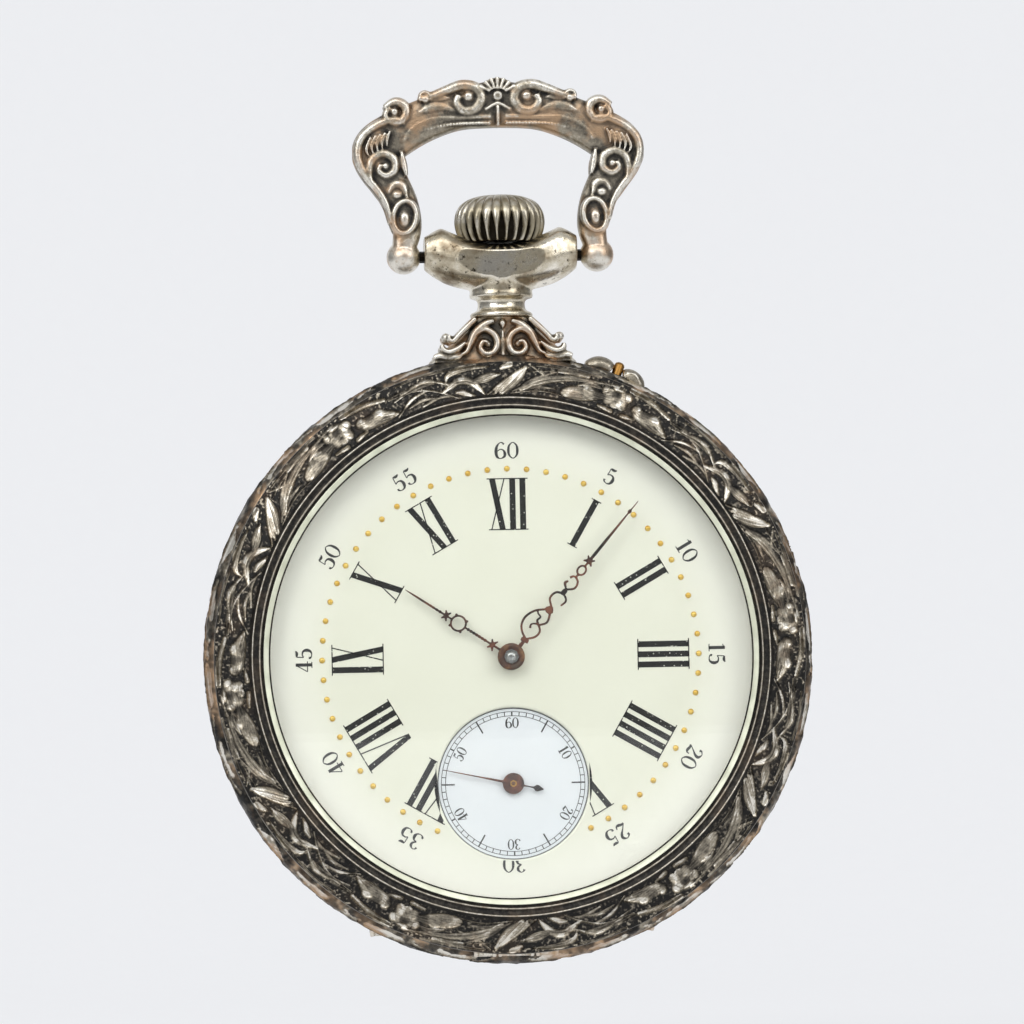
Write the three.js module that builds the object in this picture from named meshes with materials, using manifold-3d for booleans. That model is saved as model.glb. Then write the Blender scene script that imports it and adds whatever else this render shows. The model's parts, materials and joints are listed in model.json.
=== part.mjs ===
// A silver open-face pocket watch with an embossed case, built piece by piece in millimetres.
// Everything is drawn in the dial frame: x towards 3 o'clock, y towards 12 o'clock and z out of
// the dial towards the reader. One group then stands the watch up, with +Z towards 12 o'clock and
// the dial facing -Y, and puts the inside top of the bow, where a chain hook sits, at the origin.
import * as THREE from 'three';
import { mergeVertices } from 'three/addons/utils/BufferGeometryUtils.js';
import Module from 'manifold-3d';

const wasm = await Module();
wasm.setup();

// Facets
const caseSides = 28;
const plateSides = 24;
const workSides = 16;
const ringSides = 10;
const tubeSides = 8;
const arborSides = 6;
const pivotSides = 6;

// Clearances
const running = 0.06; // round a turning arbor or knuckle
const seat = 0.06; // between two pieces that rest on each other
const air = 0.15; // between pieces that pass each other
const overrun = 0.4; // how far a cut runs past the surface it opens

// Case band, the ring that carries everything
const caseRadius = 26;
const rimStep = 0.8;
const rimRadius = caseRadius - rimStep;
const bandWidth = 3.9;
const bandInner = rimRadius - bandWidth;
const bandHalf = 2.4;
const sideShare = 0.35; // the full radius, as a share of the band's half height
const ledgeReach = 0.9;
const ledgeInner = bandInner - ledgeReach;
const ledgeBack = -0.7;
const ledgeFront = -0.06;

// Bezel, the decorated ring that holds the glass
const edgeStep = 0.1; // the covers' edges stand this far inside the band's rim
const bezelRim = rimRadius - edgeStep;
const bezelLip = 1.2;
const bezelInner = bandInner - bezelLip;
const bezelFloor = bandHalf + seat;
const grooveReach = 0.65;
const grooveRadius = bezelInner + grooveReach;
const grooveFloor = 4.25;
const grooveTop = 5.2;
const mouldingTop = 5.75;
const mouldingWidth = 0.75;
const mouldingRadius = grooveRadius + mouldingWidth;
const mouldingFall = 0.6;
const mouldingEnd = mouldingRadius + mouldingFall;
const mouldingFoot = 5.3;
const borderWidth = 0.8;
const borderRadius = bezelRim - borderWidth;
const borderHeight = 4.0;
const bezelEdge = 0.45; // height of the plain edge above the band
const bezelWall = 0.8;
const bezelLipFloor = 3.6;

// Glass
const glassRadius = grooveRadius - seat;
const glassEdge = 0.7;
const glassRise = 1.25;
const glassThick = 0.65;
const glassRings = 2;

// Back cover and cuvette, the inner dust cover
const coverWall = 0.6;
const coverDepth = 7.75;
const cartoucheRadius = 6;
const cuvetteLap = 1.7; // how far the cuvette's rim lies over the band
const cuvetteRim = bandInner + cuvetteLap;
const cuvetteWall = 0.4;
const cuvetteDepth = 5.45;

// Rear joint, the long hinge at 6 o'clock that both covers turn on
const rearInset = 2.35; // from the band's rim to the joint
const rearAxisY = rearInset - rimRadius;
const rearAxisZ = -3.12;
const rearTube = 0.64;
const rearPin = 0.26;
const rearHalf = 12.2;
const rearCoverOuter = 8.2;
const rearCoverInner = 4.2;
const rearChord = 0.9; // from the joint to the straight chord where the covers stop
const rearCut = rearAxisY + rearChord;
const cuvetteCut = rearCut + coverWall + air;
const rearLug = 1.6; // width of the lug under each fixed knuckle
const rearArmBack = -4.4; // how far back the outer cover's arms reach
const cuvetteArmBack = -4.1;
const lipBack = 0.45; // depth of the band's lip beyond the joint

// Front joint of the bezel, let into the rim
const frontInset = 0.38;
const frontAxisY = frontInset - rimRadius;
const frontAxisZ = 2.3;
const frontTube = 0.5;
const frontPin = 0.2;
const frontHalf = 3.6;
const frontMiddle = 1.6;
const frontRecess = 4.6;

// Pendant: a scrolled foot, a neck and a boat-shaped saddle
const footSunk = 1.3; // how far the foot reaches into the band
const footBottom = caseRadius - footSunk;
const footHeight = 4.4;
const footTop = footBottom + footHeight;
const footHalfWidth = 6.0;
const footHalfDepth = 2.1;
const flangeRadius = 2.6;
const flangeHeight = 0.5;
const neckRadius = 2.1;
const neckHeight = 1.3;
const neckTop = footTop + neckHeight;
const collarRadius = 2.75;
const collarHeight = 1.1;
const collarTop = neckTop + collarHeight;
const saddleHalf = 6.5;
const saddleSunk = 0.3;
const saddleBottom = collarTop - saddleSunk;
const saddleRise = 1.9; // from the middle of the boat to its ends, below
const saddleEndLow = saddleBottom + saddleRise;
const saddleEndHeight = 3;
const saddleEndHigh = saddleEndLow + saddleEndHeight;
const saddleTipRise = 0.7;
const saddleTip = saddleEndHigh + saddleTipRise;
const saddleTipInset = 1.2;
const saddleTipAt = saddleHalf - saddleTipInset;
const saddleHollow = 1.5;
const saddleMiddleTop = saddleTip - saddleHollow;
const saddleDepth = 2.9;
const saddleEndDepth = 1.5;
const stemBore = 0.62;

// Crown and winding stem
const crownRadius = 3.86;
const crownGap = 0.2;
const crownBottom = saddleMiddleTop + crownGap;
const crownHeight = 4.1;
const crownFlutes = 26;
const fluteDepth = 0.3;
const stemRadius = 0.5;
const stemInCrown = 2.2;
const stemTop = crownBottom + stemInCrown;

// Bow
const bowPivotOut = 1.77; // from the saddle's end to the middle of the ball
const bowPivotX = saddleHalf + bowPivotOut;
const bowPivotDrop = 0.2;
const bowPivotY = (saddleEndLow + saddleEndHigh) / 2 - bowPivotDrop;
const bowHeight = 13.1; // from the pivots to the middle of the top bar
const bowHalfWidth = 10.5;
const bowTopHalf = 2.3; // half the height of the top bar, crest and bead together
const bowInsideTop = bowPivotY + bowHeight - bowTopHalf;
const bowThick = 3.0;
const bowSides = 8;
const bowSteps = 18;
const ballRadius = 1.46;
const bowPivotRadius = 0.5;
const bowPivotInset = 1.3;

// Push pin that sets the hands, and its guard
const pushOffset = 9.983; // along the rim, from the pendant's middle to the push pin
const pushAngle = THREE.MathUtils.radToDeg(pushOffset / caseRadius);
const pushRadius = 0.55;
const pushStandsOut = 1.4;
const pushTop = caseRadius + pushStandsOut;
const pushInset = 0.2;
const pushInner = bandInner + pushInset;
const pushTravel = 0.9;
const guardHeight = 1.05;
const guardTop = caseRadius + guardHeight;
const guardHalfLength = 2.75;
const guardHalfDepth = 1.15;
const guardShoulder = 1.1;

// Dial
const dialGap = 0.4;
const dialRadius = bandInner - dialGap;
const dialBack = 2.55;
const dialThick = 0.75;
const dialHole = 1.5;
const secondsShare = 0.512; // place and size of the seconds dial, as shares of the dial
const secondsSizeShare = 0.3086;
const secondsY = -dialRadius * secondsShare;
const secondsRadius = dialRadius * secondsSizeShare;
const secondsSunk = 0.3;
const secondsHole = 0.45;
const secondsThick = 0.3;

// Mainplate
const plateGap = 0.2;
const plateRadius = ledgeInner - plateGap;
const plateFlange = bandInner - plateGap;
const plateBack = -0.9;
const plateFront = 1.2;
const plateRimWidth = 1.2;
const plateRim = plateFlange - plateRimWidth;
const plateRimFront = dialBack - seat;

// Bridges, behind the plate
const bridgeBack = -3.6;
const barrelBridgeFront = -2.25;
const trainBridgeFront = -2.72;
const cockFront = -3.2;
const cockBack = -3.95;
const bridgeFootWidth = 2.8;
const bridgeFootInner = plateRadius - bridgeFootWidth;
const cockFootWidth = 2;
const cockFootInner = plateRadius - cockFootWidth;

// Where the arbors stand: angles clockwise from 12 o'clock, and distances as shares of the plate
const barrelAngle = -50;
const barrelShare = 0.44;
const thirdAngle = 130;
const thirdShare = 0.42;
const escapeAngle = 293;
const escapeShare = 0.267;
const palletShare = 0.168;
const balanceAngle = 308;
const balanceShare = 0.41;
const minuteWheelAngle = 70;
const minuteWheelShare = 0.261;
const crownWheelShare = 0.614;
const clickShares = [0.069, 0.282];

// Teeth of the going train, the motion work and the winding work
const barrelTeeth = 44;
const centrePinionLeaves = 8;
const centreTeeth = 48;
const thirdPinionLeaves = 6;
const thirdTeeth = 45;
const fourthPinionLeaves = 6;
const fourthTeeth = 36;
const escapePinionLeaves = 6;
const escapeTeeth = 15;
const cannonLeaves = 8;
const minuteTeeth = 24;
const minutePinionLeaves = 6;
const hourTeeth = 24;
const ratchetTeeth = 27;
const crownWheelTeeth = 18;
const windingLeaves = 9;
const faceNotches = 15;
const slidingLeaves = 9;
const toothDepthShare = 1.7; // whole depth of a tooth, in pitch radius over half the teeth
const bite = 0.42; // share of the tooth depth that is in mesh

// Heights of the wheels, from the dial towards the back
const wheelThick = 0.3;
const barrelFront = 0.6;
const barrelBack = -1.5;
const barrelToothBand = 0.5;
const barrelRoom = 0.55; // from the barrel's pitch circle to the wall of its recess
const thirdBack = -1.45;
const centreBack = -2.0;
const fourthBack = -2.48;
const escapeBack = -1.5;
const balanceBack = -2.95;
const balanceThick = 0.6;
const balanceSizeShare = 0.272;
const balanceRadius = plateRadius * balanceSizeShare;
const balanceRim = 0.6;
const hairspringBack = -3.14;
const hairspringHeight = 0.12;
const hairspringTurns = 4;
const hairspringInner = 0.7;
const hairspringShare = 0.53;
const hairspringOuter = balanceRadius * hairspringShare;
const hairspringBlade = 0.06;
const hairspringSteps = 8;
const ratchetBack = -4.15;
const ratchetThick = 0.42;
const crownSkirtShare = 0.1337;
const crownSkirtRadius = plateRadius * crownSkirtShare;
const crownSkirtWall = 0.7;
const crownSkirtFront = -1.15;
const windingRadius = 1.38;
const windingLength = 1.2;
const slidingRadius = 1.25;
const slidingLength = 1.5;
const arborRadius = 0.32;
const pivotRadius = 0.2;
const rollerRadius = 1.1;
const rollerThick = 0.25;
const forkThick = 0.3;
const forkShare = 0.97; // arms of the pallet fork, as shares of its distance from the escape wheel
const palletArmShare = 0.72;
const clickReach = 2.6;
const clickThick = 0.35;

// Motion work, between the plate and the dial
const cannonTube = 0.62;
const cannonFront = 4.62;
const minuteWheelBack = 1.4;
const motionThick = 0.35;
const hourWheelBack = 1.95;
const hourTubeRadius = 0.92;
const hourTubeFront = 3.98;

// Hands
const handThick = 0.16;
const hourHandBack = 3.74;
const minuteHandBack = 4.3;
const secondsHandBack = 3.3;
const hourAngle = 303.4; // clockwise from 12 o'clock, about 10.07 hours
const minuteAngle = 40.4;
const secondsAngle = 282;
const hourLengthShare = 0.512; // lengths of the hands, as shares of their dials
const minuteLengthShare = 0.818;
const secondsLengthShare = 0.93;
const secondsTailShare = 0.41;
const hourLength = dialRadius * hourLengthShare;
const minuteLength = dialRadius * minuteLengthShare;
const secondsLength = secondsRadius * secondsLengthShare;
const secondsTail = secondsRadius * secondsTailShare;
const hourHub = 1.2;
const minuteHub = 1.15;
const secondsHub = 0.94;

// Screws
const screwHead = 0.85;
const screwHeadHeight = 0.35;
const screwShank = 0.4;
const slotWidth = 0.22;
const slotDepth = 0.16;

const silver = { color: 0xb9b3a6, roughness: 0.36, metalness: 1 };
const darkSilver = { color: 0x6b665e, roughness: 0.5, metalness: 1 };
const gilt = { color: 0xc8a763, roughness: 0.35, metalness: 1 };
const steel = { color: 0x8f949b, roughness: 0.3, metalness: 1 };
const rustedSteel = { color: 0x5c4238, roughness: 0.7, metalness: 0.6 };
const enamel = { color: 0xeef0dd, roughness: 0.15, metalness: 0 };
const whiteEnamel = { color: 0xe9eff6, roughness: 0.15, metalness: 0 };
const ruby = { color: 0x8c2f3c, roughness: 0.1, metalness: 0 };
const glass = { color: 0xf2f6f7, roughness: 0.05, metalness: 0, transparent: true, opacity: 0.25 };

const turn = Math.PI * 2;
const quarterTurn = 90; // degrees
const radians = (degrees) => degrees * Math.PI / 180;

// A place on the dial, from a distance and an angle clockwise from 12 o'clock
const place = (distance, angle, from = [0, 0]) => [
  from[0] + distance * Math.sin(radians(angle)),
  from[1] + distance * Math.cos(radians(angle)),
];
const palletDistance = plateRadius * palletShare;
const barrelAt = place(plateRadius * barrelShare, barrelAngle);
const thirdAt = place(plateRadius * thirdShare, thirdAngle);
const fourthAt = [0, secondsY];
const escapeAt = place(plateRadius * escapeShare, escapeAngle, fourthAt);
const balanceAt = place(plateRadius * balanceShare, balanceAngle, escapeAt);
const palletAt = place(palletDistance, balanceAngle, escapeAt);
const minuteWheelAt = place(plateRadius * minuteWheelShare, minuteWheelAngle);
const crownWheelAt = [0, plateRadius * crownWheelShare];
const clickAt = clickShares.map((share) => plateRadius * share);

// Closed meshes and the solids made of them
const weld = 1e-4; // points closer than this are one
const closedGeometry = (positions, indices) => {
  const geometry = new THREE.BufferGeometry();
  geometry.setAttribute('position', new THREE.Float32BufferAttribute(positions, 3));
  geometry.setIndex(indices);
  return geometry;
};

const solid = (geometry) => {
  let plain = geometry.clone();
  plain.deleteAttribute('normal');
  plain.deleteAttribute('uv');
  plain = mergeVertices(plain, weld);
  const points = new Float32Array(plain.attributes.position.array);
  const corners = [];
  let volume = 0;
  const a = new THREE.Vector3();
  const b = new THREE.Vector3();
  const c = new THREE.Vector3();
  for (let i = 0; i < plain.index.count; i += 3) {
    const [p, q, r] = [0, 1, 2].map((k) => plain.index.getX(i + k));
    if (p === q || q === r || r === p) continue;
    corners.push(p, q, r);
    a.fromArray(points, p * 3);
    b.fromArray(points, q * 3);
    c.fromArray(points, r * 3);
    volume += a.dot(b.cross(c));
  }
  if (volume < 0) {
    for (let i = 0; i < corners.length; i += 3) [corners[i], corners[i + 1]] = [corners[i + 1], corners[i]];
  }
  const triVerts = new Uint32Array(corners);
  return new wasm.Manifold(new wasm.Mesh({ numProp: 3, vertProperties: points, triVerts }));
};

const geometryOf = (body) => {
  const mesh = body.getMesh();
  return closedGeometry(Array.from(mesh.vertProperties), Array.from(mesh.triVerts));
};

// A body of revolution about z, from points given as radius and height
const revolve = (outline, sides = workSides) => {
  const points = outline.map(([radius, height]) => new THREE.Vector2(radius, height));
  const onAxis = outline[0][0] === 0 && outline[outline.length - 1][0] === 0;
  if (!onAxis) points.push(points[0].clone());
  return solid(new THREE.LatheGeometry(points, sides).rotateX(Math.PI / 2));
};

// A body of revolution about y
const revolveUpright = (outline, sides = workSides) => {
  const points = outline.map(([radius, height]) => new THREE.Vector2(radius, height));
  return solid(new THREE.LatheGeometry(points, sides));
};

const shapeOf = (points) => new THREE.Shape(points.map(([x, y]) => new THREE.Vector2(x, y)));

const prism = (shape, back, front) => {
  const geometry = new THREE.ExtrudeGeometry(shape, { depth: front - back, bevelEnabled: false });
  return solid(geometry.translate(0, 0, back));
};

const disc = (radius, back, front, at = [0, 0], sides = workSides) => {
  const geometry = new THREE.CylinderGeometry(radius, radius, front - back, sides);
  geometry.rotateX(Math.PI / 2);
  return solid(geometry.translate(at[0], at[1], (front + back) / 2));
};

const ringOf = (outer, inner, back, front, at = [0, 0], sides = workSides) => {
  const hole = disc(inner, back - overrun, front + overrun, at, sides);
  return disc(outer, back, front, at, sides).subtract(hole);
};

const block = (low, high) => {
  const size = high.map((value, k) => value - low[k]);
  const middle = high.map((value, k) => (value + low[k]) / 2);
  return solid(new THREE.BoxGeometry(...size).translate(...middle));
};

// A rod between two points, used for pins, stems and bores
const rod = (from, to, radius, sides = tubeSides) => {
  const start = new THREE.Vector3(...from);
  const along = new THREE.Vector3(...to).sub(start);
  const geometry = new THREE.CylinderGeometry(radius, radius, along.length(), sides);
  const up = new THREE.Vector3(0, 1, 0);
  geometry.applyQuaternion(new THREE.Quaternion().setFromUnitVectors(up, along.clone().normalize()));
  const middle = start.add(along.multiplyScalar(1 / 2));
  return solid(geometry.translate(middle.x, middle.y, middle.z));
};

// A skin over a row of closed sections with the same number of points each
const loft = (sections) => {
  const count = sections[0].length;
  const positions = sections.flat(2);
  const indices = [];
  for (let s = 0; s + 1 < sections.length; s += 1) {
    for (let k = 0; k < count; k += 1) {
      const next = (k + 1) % count;
      const low = s * count;
      const high = low + count;
      indices.push(low + k, low + next, high + next, low + k, high + next, high + k);
    }
  }
  [0, sections.length - 1].forEach((s) => {
    const middle = new THREE.Vector3();
    sections[s].forEach((point) => middle.add(new THREE.Vector3(...point)));
    middle.divideScalar(count);
    const hub = positions.length / 3;
    positions.push(middle.x, middle.y, middle.z);
    for (let k = 0; k < count; k += 1) {
      const [from, to] = [s * count + k, s * count + (k + 1) % count];
      indices.push(hub, ...(s === 0 ? [to, from] : [from, to]));
    }
  });
  return solid(closedGeometry(positions, indices));
};

// The same solid somewhere else
const moved = (body, matrix) => {
  const mesh = body.getMesh();
  const points = new THREE.BufferAttribute(Float32Array.from(mesh.vertProperties), 3).applyMatrix4(matrix);
  const triVerts = mesh.triVerts;
  return new wasm.Manifold(new wasm.Mesh({ numProp: 3, vertProperties: points.array, triVerts }));
};
const at = (body, [x, y]) => moved(body, new THREE.Matrix4().makeTranslation(x, y, 0));
const turned = (body, angle) => moved(body, new THREE.Matrix4().makeRotationZ(angle));
const clockwise = (body, degrees) => turned(body, -radians(degrees));

const joined = (...pieces) => pieces.reduce((whole, piece) => whole.add(piece));
const cut = (body, ...tools) => tools.reduce((left, tool) => left.subtract(tool), body);

// Teeth. A wheel has pointed teeth and a pinion has narrow leaves with a little land
const leafRootShare = 0.2;
const leafTipShare = 0.06;
const toothed = (teeth, pitchRadius, phase, leaves = false) => {
  const pitch = turn / teeth;
  const depth = toothDepthShare * 2 * pitchRadius / teeth;
  const tip = pitchRadius + depth * bite;
  const root = pitchRadius - depth * (1 - bite);
  const points = [];
  const add = (radius, angle) => points.push([radius * Math.cos(angle), radius * Math.sin(angle)]);
  for (let k = 0; k < teeth; k += 1) {
    const middle = phase + k * pitch;
    if (leaves) {
      add(root, middle - pitch * leafRootShare);
      add(tip, middle - pitch * leafTipShare);
      add(tip, middle + pitch * leafTipShare);
      add(root, middle + pitch * leafRootShare);
    } else {
      add(root, middle - pitch / 2);
      add(tip, middle);
    }
  }
  return shapeOf(points);
};

// Windows between the arms of a wheel
const crossingSteps = 2;
const crossings = (shape, arms, inner, outer, armWidth, phase = 0) => {
  for (let k = 0; k < arms; k += 1) {
    const path = new THREE.Path();
    const window = (radius) => turn / arms / 2 - armWidth / 2 / radius;
    const middle = phase + (k + 1 / 2) * turn / arms;
    const points = [];
    for (let s = 0; s <= crossingSteps; s += 1) {
      const angle = middle - window(outer) + 2 * window(outer) * s / crossingSteps;
      points.push(new THREE.Vector2(outer * Math.cos(angle), outer * Math.sin(angle)));
    }
    [1, -1].forEach((side) => {
      const angle = middle + side * window(inner);
      points.push(new THREE.Vector2(inner * Math.cos(angle), inner * Math.sin(angle)));
    });
    path.setFromPoints(points);
    shape.holes.push(path);
  }
  return shape;
};

// Two gears on a line of centres share its length by their teeth, and a tooth faces a gap
const mesh = (from, to, teeth, otherTeeth) => {
  const distance = Math.hypot(to[0] - from[0], to[1] - from[1]);
  const line = Math.atan2(to[1] - from[1], to[0] - from[0]);
  return {
    radius: distance * teeth / (teeth + otherTeeth),
    otherRadius: distance * otherTeeth / (teeth + otherTeeth),
    phase: line,
    otherPhase: line + Math.PI + Math.PI / otherTeeth,
  };
};
const centre = [0, 0];
const barrelMesh = mesh(barrelAt, centre, barrelTeeth, centrePinionLeaves);
const centreMesh = mesh(centre, thirdAt, centreTeeth, thirdPinionLeaves);
const thirdMesh = mesh(thirdAt, fourthAt, thirdTeeth, fourthPinionLeaves);
const fourthMesh = mesh(fourthAt, escapeAt, fourthTeeth, escapePinionLeaves);
const minuteMesh = mesh(minuteWheelAt, centre, minuteTeeth, cannonLeaves);
const hourMesh = mesh(centre, minuteWheelAt, hourTeeth, minutePinionLeaves);
const ratchetMesh = mesh(barrelAt, crownWheelAt, ratchetTeeth, crownWheelTeeth);

const pinion = (leaves, radius, phase, back, front) => (
  prism(toothed(leaves, radius, phase, true), back, front)
);

const wheelHub = 1.3;
const wheelArm = 0.7;
const rimShare = 0.84; // inside of a wheel's rim, as a share of its pitch radius
const armCount = 4;
const pinionReach = 0.1; // a pinion is this much longer than the rim it meets
const spokedWheel = (teeth, meshing, back) => {
  const shape = toothed(teeth, meshing.radius, meshing.phase);
  crossings(shape, armCount, wheelHub, meshing.radius * rimShare, wheelArm);
  return prism(shape, back, back + wheelThick);
};
const pinionOver = (leaves, meshing, otherBack) => pinion(
  leaves, meshing.otherRadius, meshing.otherPhase,
  otherBack - pinionReach, otherBack + wheelThick + pinionReach,
);

// Going train
const bridgePivotDepth = 0.65;
const platePivotDepth = 0.7;
const arborWithPivots = (back, front, bridgeFront) => joined(
  disc(arborRadius, back, front, centre, arborSides),
  disc(pivotRadius, bridgeFront - bridgePivotDepth, plateBack + platePivotDepth, centre, pivotSides),
);
const shoulderGap = 0.08;
const trainBack = trainBridgeFront + shoulderGap;
const trainFront = plateBack - shoulderGap;

const centreArbor = 0.5;
const centrePost = 0.4;
const centrePostFront = cannonFront - seat;
const centrePivot = 0.34;
const centreWheel = () => joined(
  spokedWheel(centreTeeth, centreMesh, centreBack),
  disc(centreArbor, trainBack, plateFront + seat, centre, arborSides),
  disc(centrePivot, trainBridgeFront - bridgePivotDepth, plateBack, centre, pivotSides),
  disc(centrePost, plateBack, centrePostFront, centre, arborSides),
  pinion(
    centrePinionLeaves, barrelMesh.otherRadius, barrelMesh.otherPhase,
    barrelFront - barrelToothBand - pinionReach / 2, barrelFront + pinionReach / 2,
  ),
);

const thirdWheel = () => at(joined(
  spokedWheel(thirdTeeth, thirdMesh, thirdBack),
  pinionOver(thirdPinionLeaves, centreMesh, centreBack),
  arborWithPivots(trainBack, trainFront, trainBridgeFront),
), thirdAt);

const secondsPost = 0.3;
const fourthWheel = () => at(joined(
  spokedWheel(fourthTeeth, fourthMesh, fourthBack),
  pinionOver(fourthPinionLeaves, thirdMesh, thirdBack),
  arborWithPivots(trainBack, trainFront, trainBridgeFront),
  disc(secondsPost, trainBack, secondsHandBack + handThick + seat, centre, pivotSides),
), fourthAt);

const escapeSizeShare = 0.1435;
const escapeRadius = plateRadius * escapeSizeShare;
const escapeRootShare = 0.76;
const escapeToothShares = [0.1, 0.62, 0.66]; // root, tip and undercut of a tooth in its pitch
const escapeThick = 0.24;
const escapeHub = 0.8;
const escapeWheel = () => {
  const points = [];
  const add = (radius, angle) => points.push([radius * Math.cos(angle), radius * Math.sin(angle)]);
  for (let k = 0; k < escapeTeeth; k += 1) {
    const [rootAt, heelAt, toeAt] = escapeToothShares.map((share) => (k + share) * turn / escapeTeeth);
    add(escapeRadius * escapeRootShare, rootAt);
    add(escapeRadius, heelAt);
    add(escapeRadius * escapeRootShare, toeAt);
  }
  const innerRim = escapeRadius * escapeRootShare * rimShare;
  const shape = crossings(shapeOf(points), armCount, escapeHub, innerRim, arborRadius);
  return at(joined(
    prism(shape, escapeBack, escapeBack + escapeThick),
    pinionOver(escapePinionLeaves, fourthMesh, fourthBack),
    arborWithPivots(trainBack, trainFront, trainBridgeFront),
  ), escapeAt);
};

const barrelArborRadius = 0.7;
const drumShare = 0.89; // the drum's radius, as a share of its teeth's pitch radius
const barrelDrum = barrelMesh.radius * drumShare;
const barrel = () => at(cut(
  joined(
    prism(
      toothed(barrelTeeth, barrelMesh.radius, barrelMesh.phase), barrelFront - barrelToothBand, barrelFront,
    ),
    disc(barrelDrum, barrelBack, barrelFront),
  ),
  disc(barrelArborRadius + running, barrelBack - overrun, barrelFront + overrun, centre, tubeSides),
), barrelAt);

const ratchetSquare = 0.95;
const squareSides = 4;
const barrelArborFront = plateFront - air;
const barrelArbor = () => at(joined(
  disc(
    barrelArborRadius - running / 2, ratchetBack + ratchetThick + seat, barrelArborFront, centre, tubeSides,
  ),
  disc(ratchetSquare / 2, ratchetBack - seat, ratchetBack + ratchetThick + 2 * seat, centre, squareSides),
), barrelAt);
const ratchetWheel = () => at(cut(
  prism(
    toothed(ratchetTeeth, ratchetMesh.radius, ratchetMesh.phase), ratchetBack, ratchetBack + ratchetThick,
  ),
  disc(
    (ratchetSquare + running) / 2, ratchetBack - overrun, ratchetBack + ratchetThick + overrun,
    centre, squareSides,
  ),
), barrelAt);

// The crown wheel's hub turns in the bridge and carries teeth on its face for the winding pinion
const faceNotchWidth = 0.56;
const faceNotchDepth = 0.4;
const crownWheel = () => {
  const front = crownSkirtFront;
  const notches = [];
  for (let k = 0; k < faceNotches; k += 1) {
    const bar = block(
      [crownSkirtRadius - crownSkirtWall - overrun, -faceNotchWidth / 2, front - faceNotchDepth],
      [crownSkirtRadius + overrun, faceNotchWidth / 2, front + overrun],
    );
    notches.push(turned(bar, Math.PI / 2 + k * turn / faceNotches));
  }
  return at(cut(
    joined(
      prism(
        toothed(crownWheelTeeth, ratchetMesh.otherRadius, ratchetMesh.otherPhase),
        ratchetBack, ratchetBack + ratchetThick,
      ),
      disc(crownSkirtRadius, ratchetBack, front),
    ),
    disc(crownSkirtRadius - crownSkirtWall, front - faceNotchDepth * 2, front + overrun, centre, ringSides),
    block(
      [-screwHead, -slotWidth / 2, ratchetBack - overrun],
      [screwHead, slotWidth / 2, ratchetBack + slotDepth],
    ),
    ...notches,
  ), crownWheelAt);
};

// Winding work on the stem
const stemPilot = 0.3; // radius of the stem's thin inner end
const stem = () => revolveUpright([
  [0, stemInner], [stemPilot, stemInner], [stemPilot, stemInner + slidingLength / 2],
  [stemRadius, stemInner + slidingLength / 2], [stemRadius, stemTop], [0, stemTop],
], tubeSides);
const windingAt = crownWheelAt[1] + crownSkirtRadius - crownSkirtWall / 2;
const uprightPinion = (radius, length, leaves, middle) => {
  const shape = toothed(leaves, radius / (1 + toothDepthShare * 2 * bite / leaves), -Math.PI / 2, true);
  const body = cut(
    prism(shape, -length / 2, length / 2),
    disc(stemRadius + running, -length, length, centre, tubeSides),
  );
  const place = new THREE.Matrix4().makeRotationX(Math.PI / 2).setPosition(0, middle, 0);
  return moved(body, place);
};
const windingPinion = () => uprightPinion(windingRadius, windingLength, windingLeaves, windingAt);
const slidingAt = windingAt - windingLength / 2 - air - slidingLength / 2;
const stemInner = slidingAt - slidingLength / 2;
const slidingPinion = () => uprightPinion(slidingRadius, slidingLength, slidingLeaves, slidingAt);

// Escapement
const balanceAxisAngle = Math.atan2(balanceAt[1] - palletAt[1], balanceAt[0] - palletAt[0]);
const palletSpread = 1.2; // radians from the fork's arm to each pallet's arm
const palletArmWidth = 0.55;
const stoneLength = 0.3;
const forkSlot = 0.28;
const forkHorn = 0.42;
const forkArm = palletDistance * forkShare;
const palletReach = palletDistance * palletArmShare;
const waistStart = 0.77; // the lever is narrow between its hub and its horns
const waistEndShare = 1.5; // from the lever's tip to the waist, in lengths of its horns
const stoneWidthShare = 0.7;
const stoneAngle = 112; // degrees between a pallet's arm and its stone
const palletStaffShare = 0.8;
const palletFork = () => {
  const front = escapeBack + forkThick;
  const arm = (length, width) => block([0, -width / 2, escapeBack], [length, width / 2, front]);
  const through = (fromX, toX, lowY, highY) => block(
    [fromX, lowY, escapeBack - overrun],
    [toX, highY, front + overrun],
  );
  const waistEnd = forkArm - forkHorn * waistEndShare;
  const lever = cut(
    arm(forkArm, forkHorn * 2),
    through(forkArm - forkHorn, forkArm + overrun, -forkSlot / 2, forkSlot / 2),
    through(waistStart, waistEnd, forkHorn / 2, forkHorn * 2),
    through(waistStart, waistEnd, -forkHorn * 2, -forkHorn / 2),
  );
  const pallets = [1, -1].map((side) => {
    const stone = turned(arm(stoneLength, palletArmWidth * stoneWidthShare), side * radians(stoneAngle));
    return turned(joined(
      arm(palletReach, palletArmWidth),
      at(stone, [palletReach - palletArmWidth / 2, 0]),
    ), Math.PI + side * palletSpread);
  });
  const hub = disc(palletArmWidth, escapeBack, front, centre, arborSides);
  return at(joined(
    turned(joined(lever, hub, ...pallets), balanceAxisAngle),
    disc(arborRadius * palletStaffShare, palletBridgeFront + shoulderGap, trainFront, centre, pivotSides),
    disc(pivotRadius, palletBridgeBack + seat, plateBack + platePivotDepth, centre, pivotSides),
  ), palletAt);
};

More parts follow.
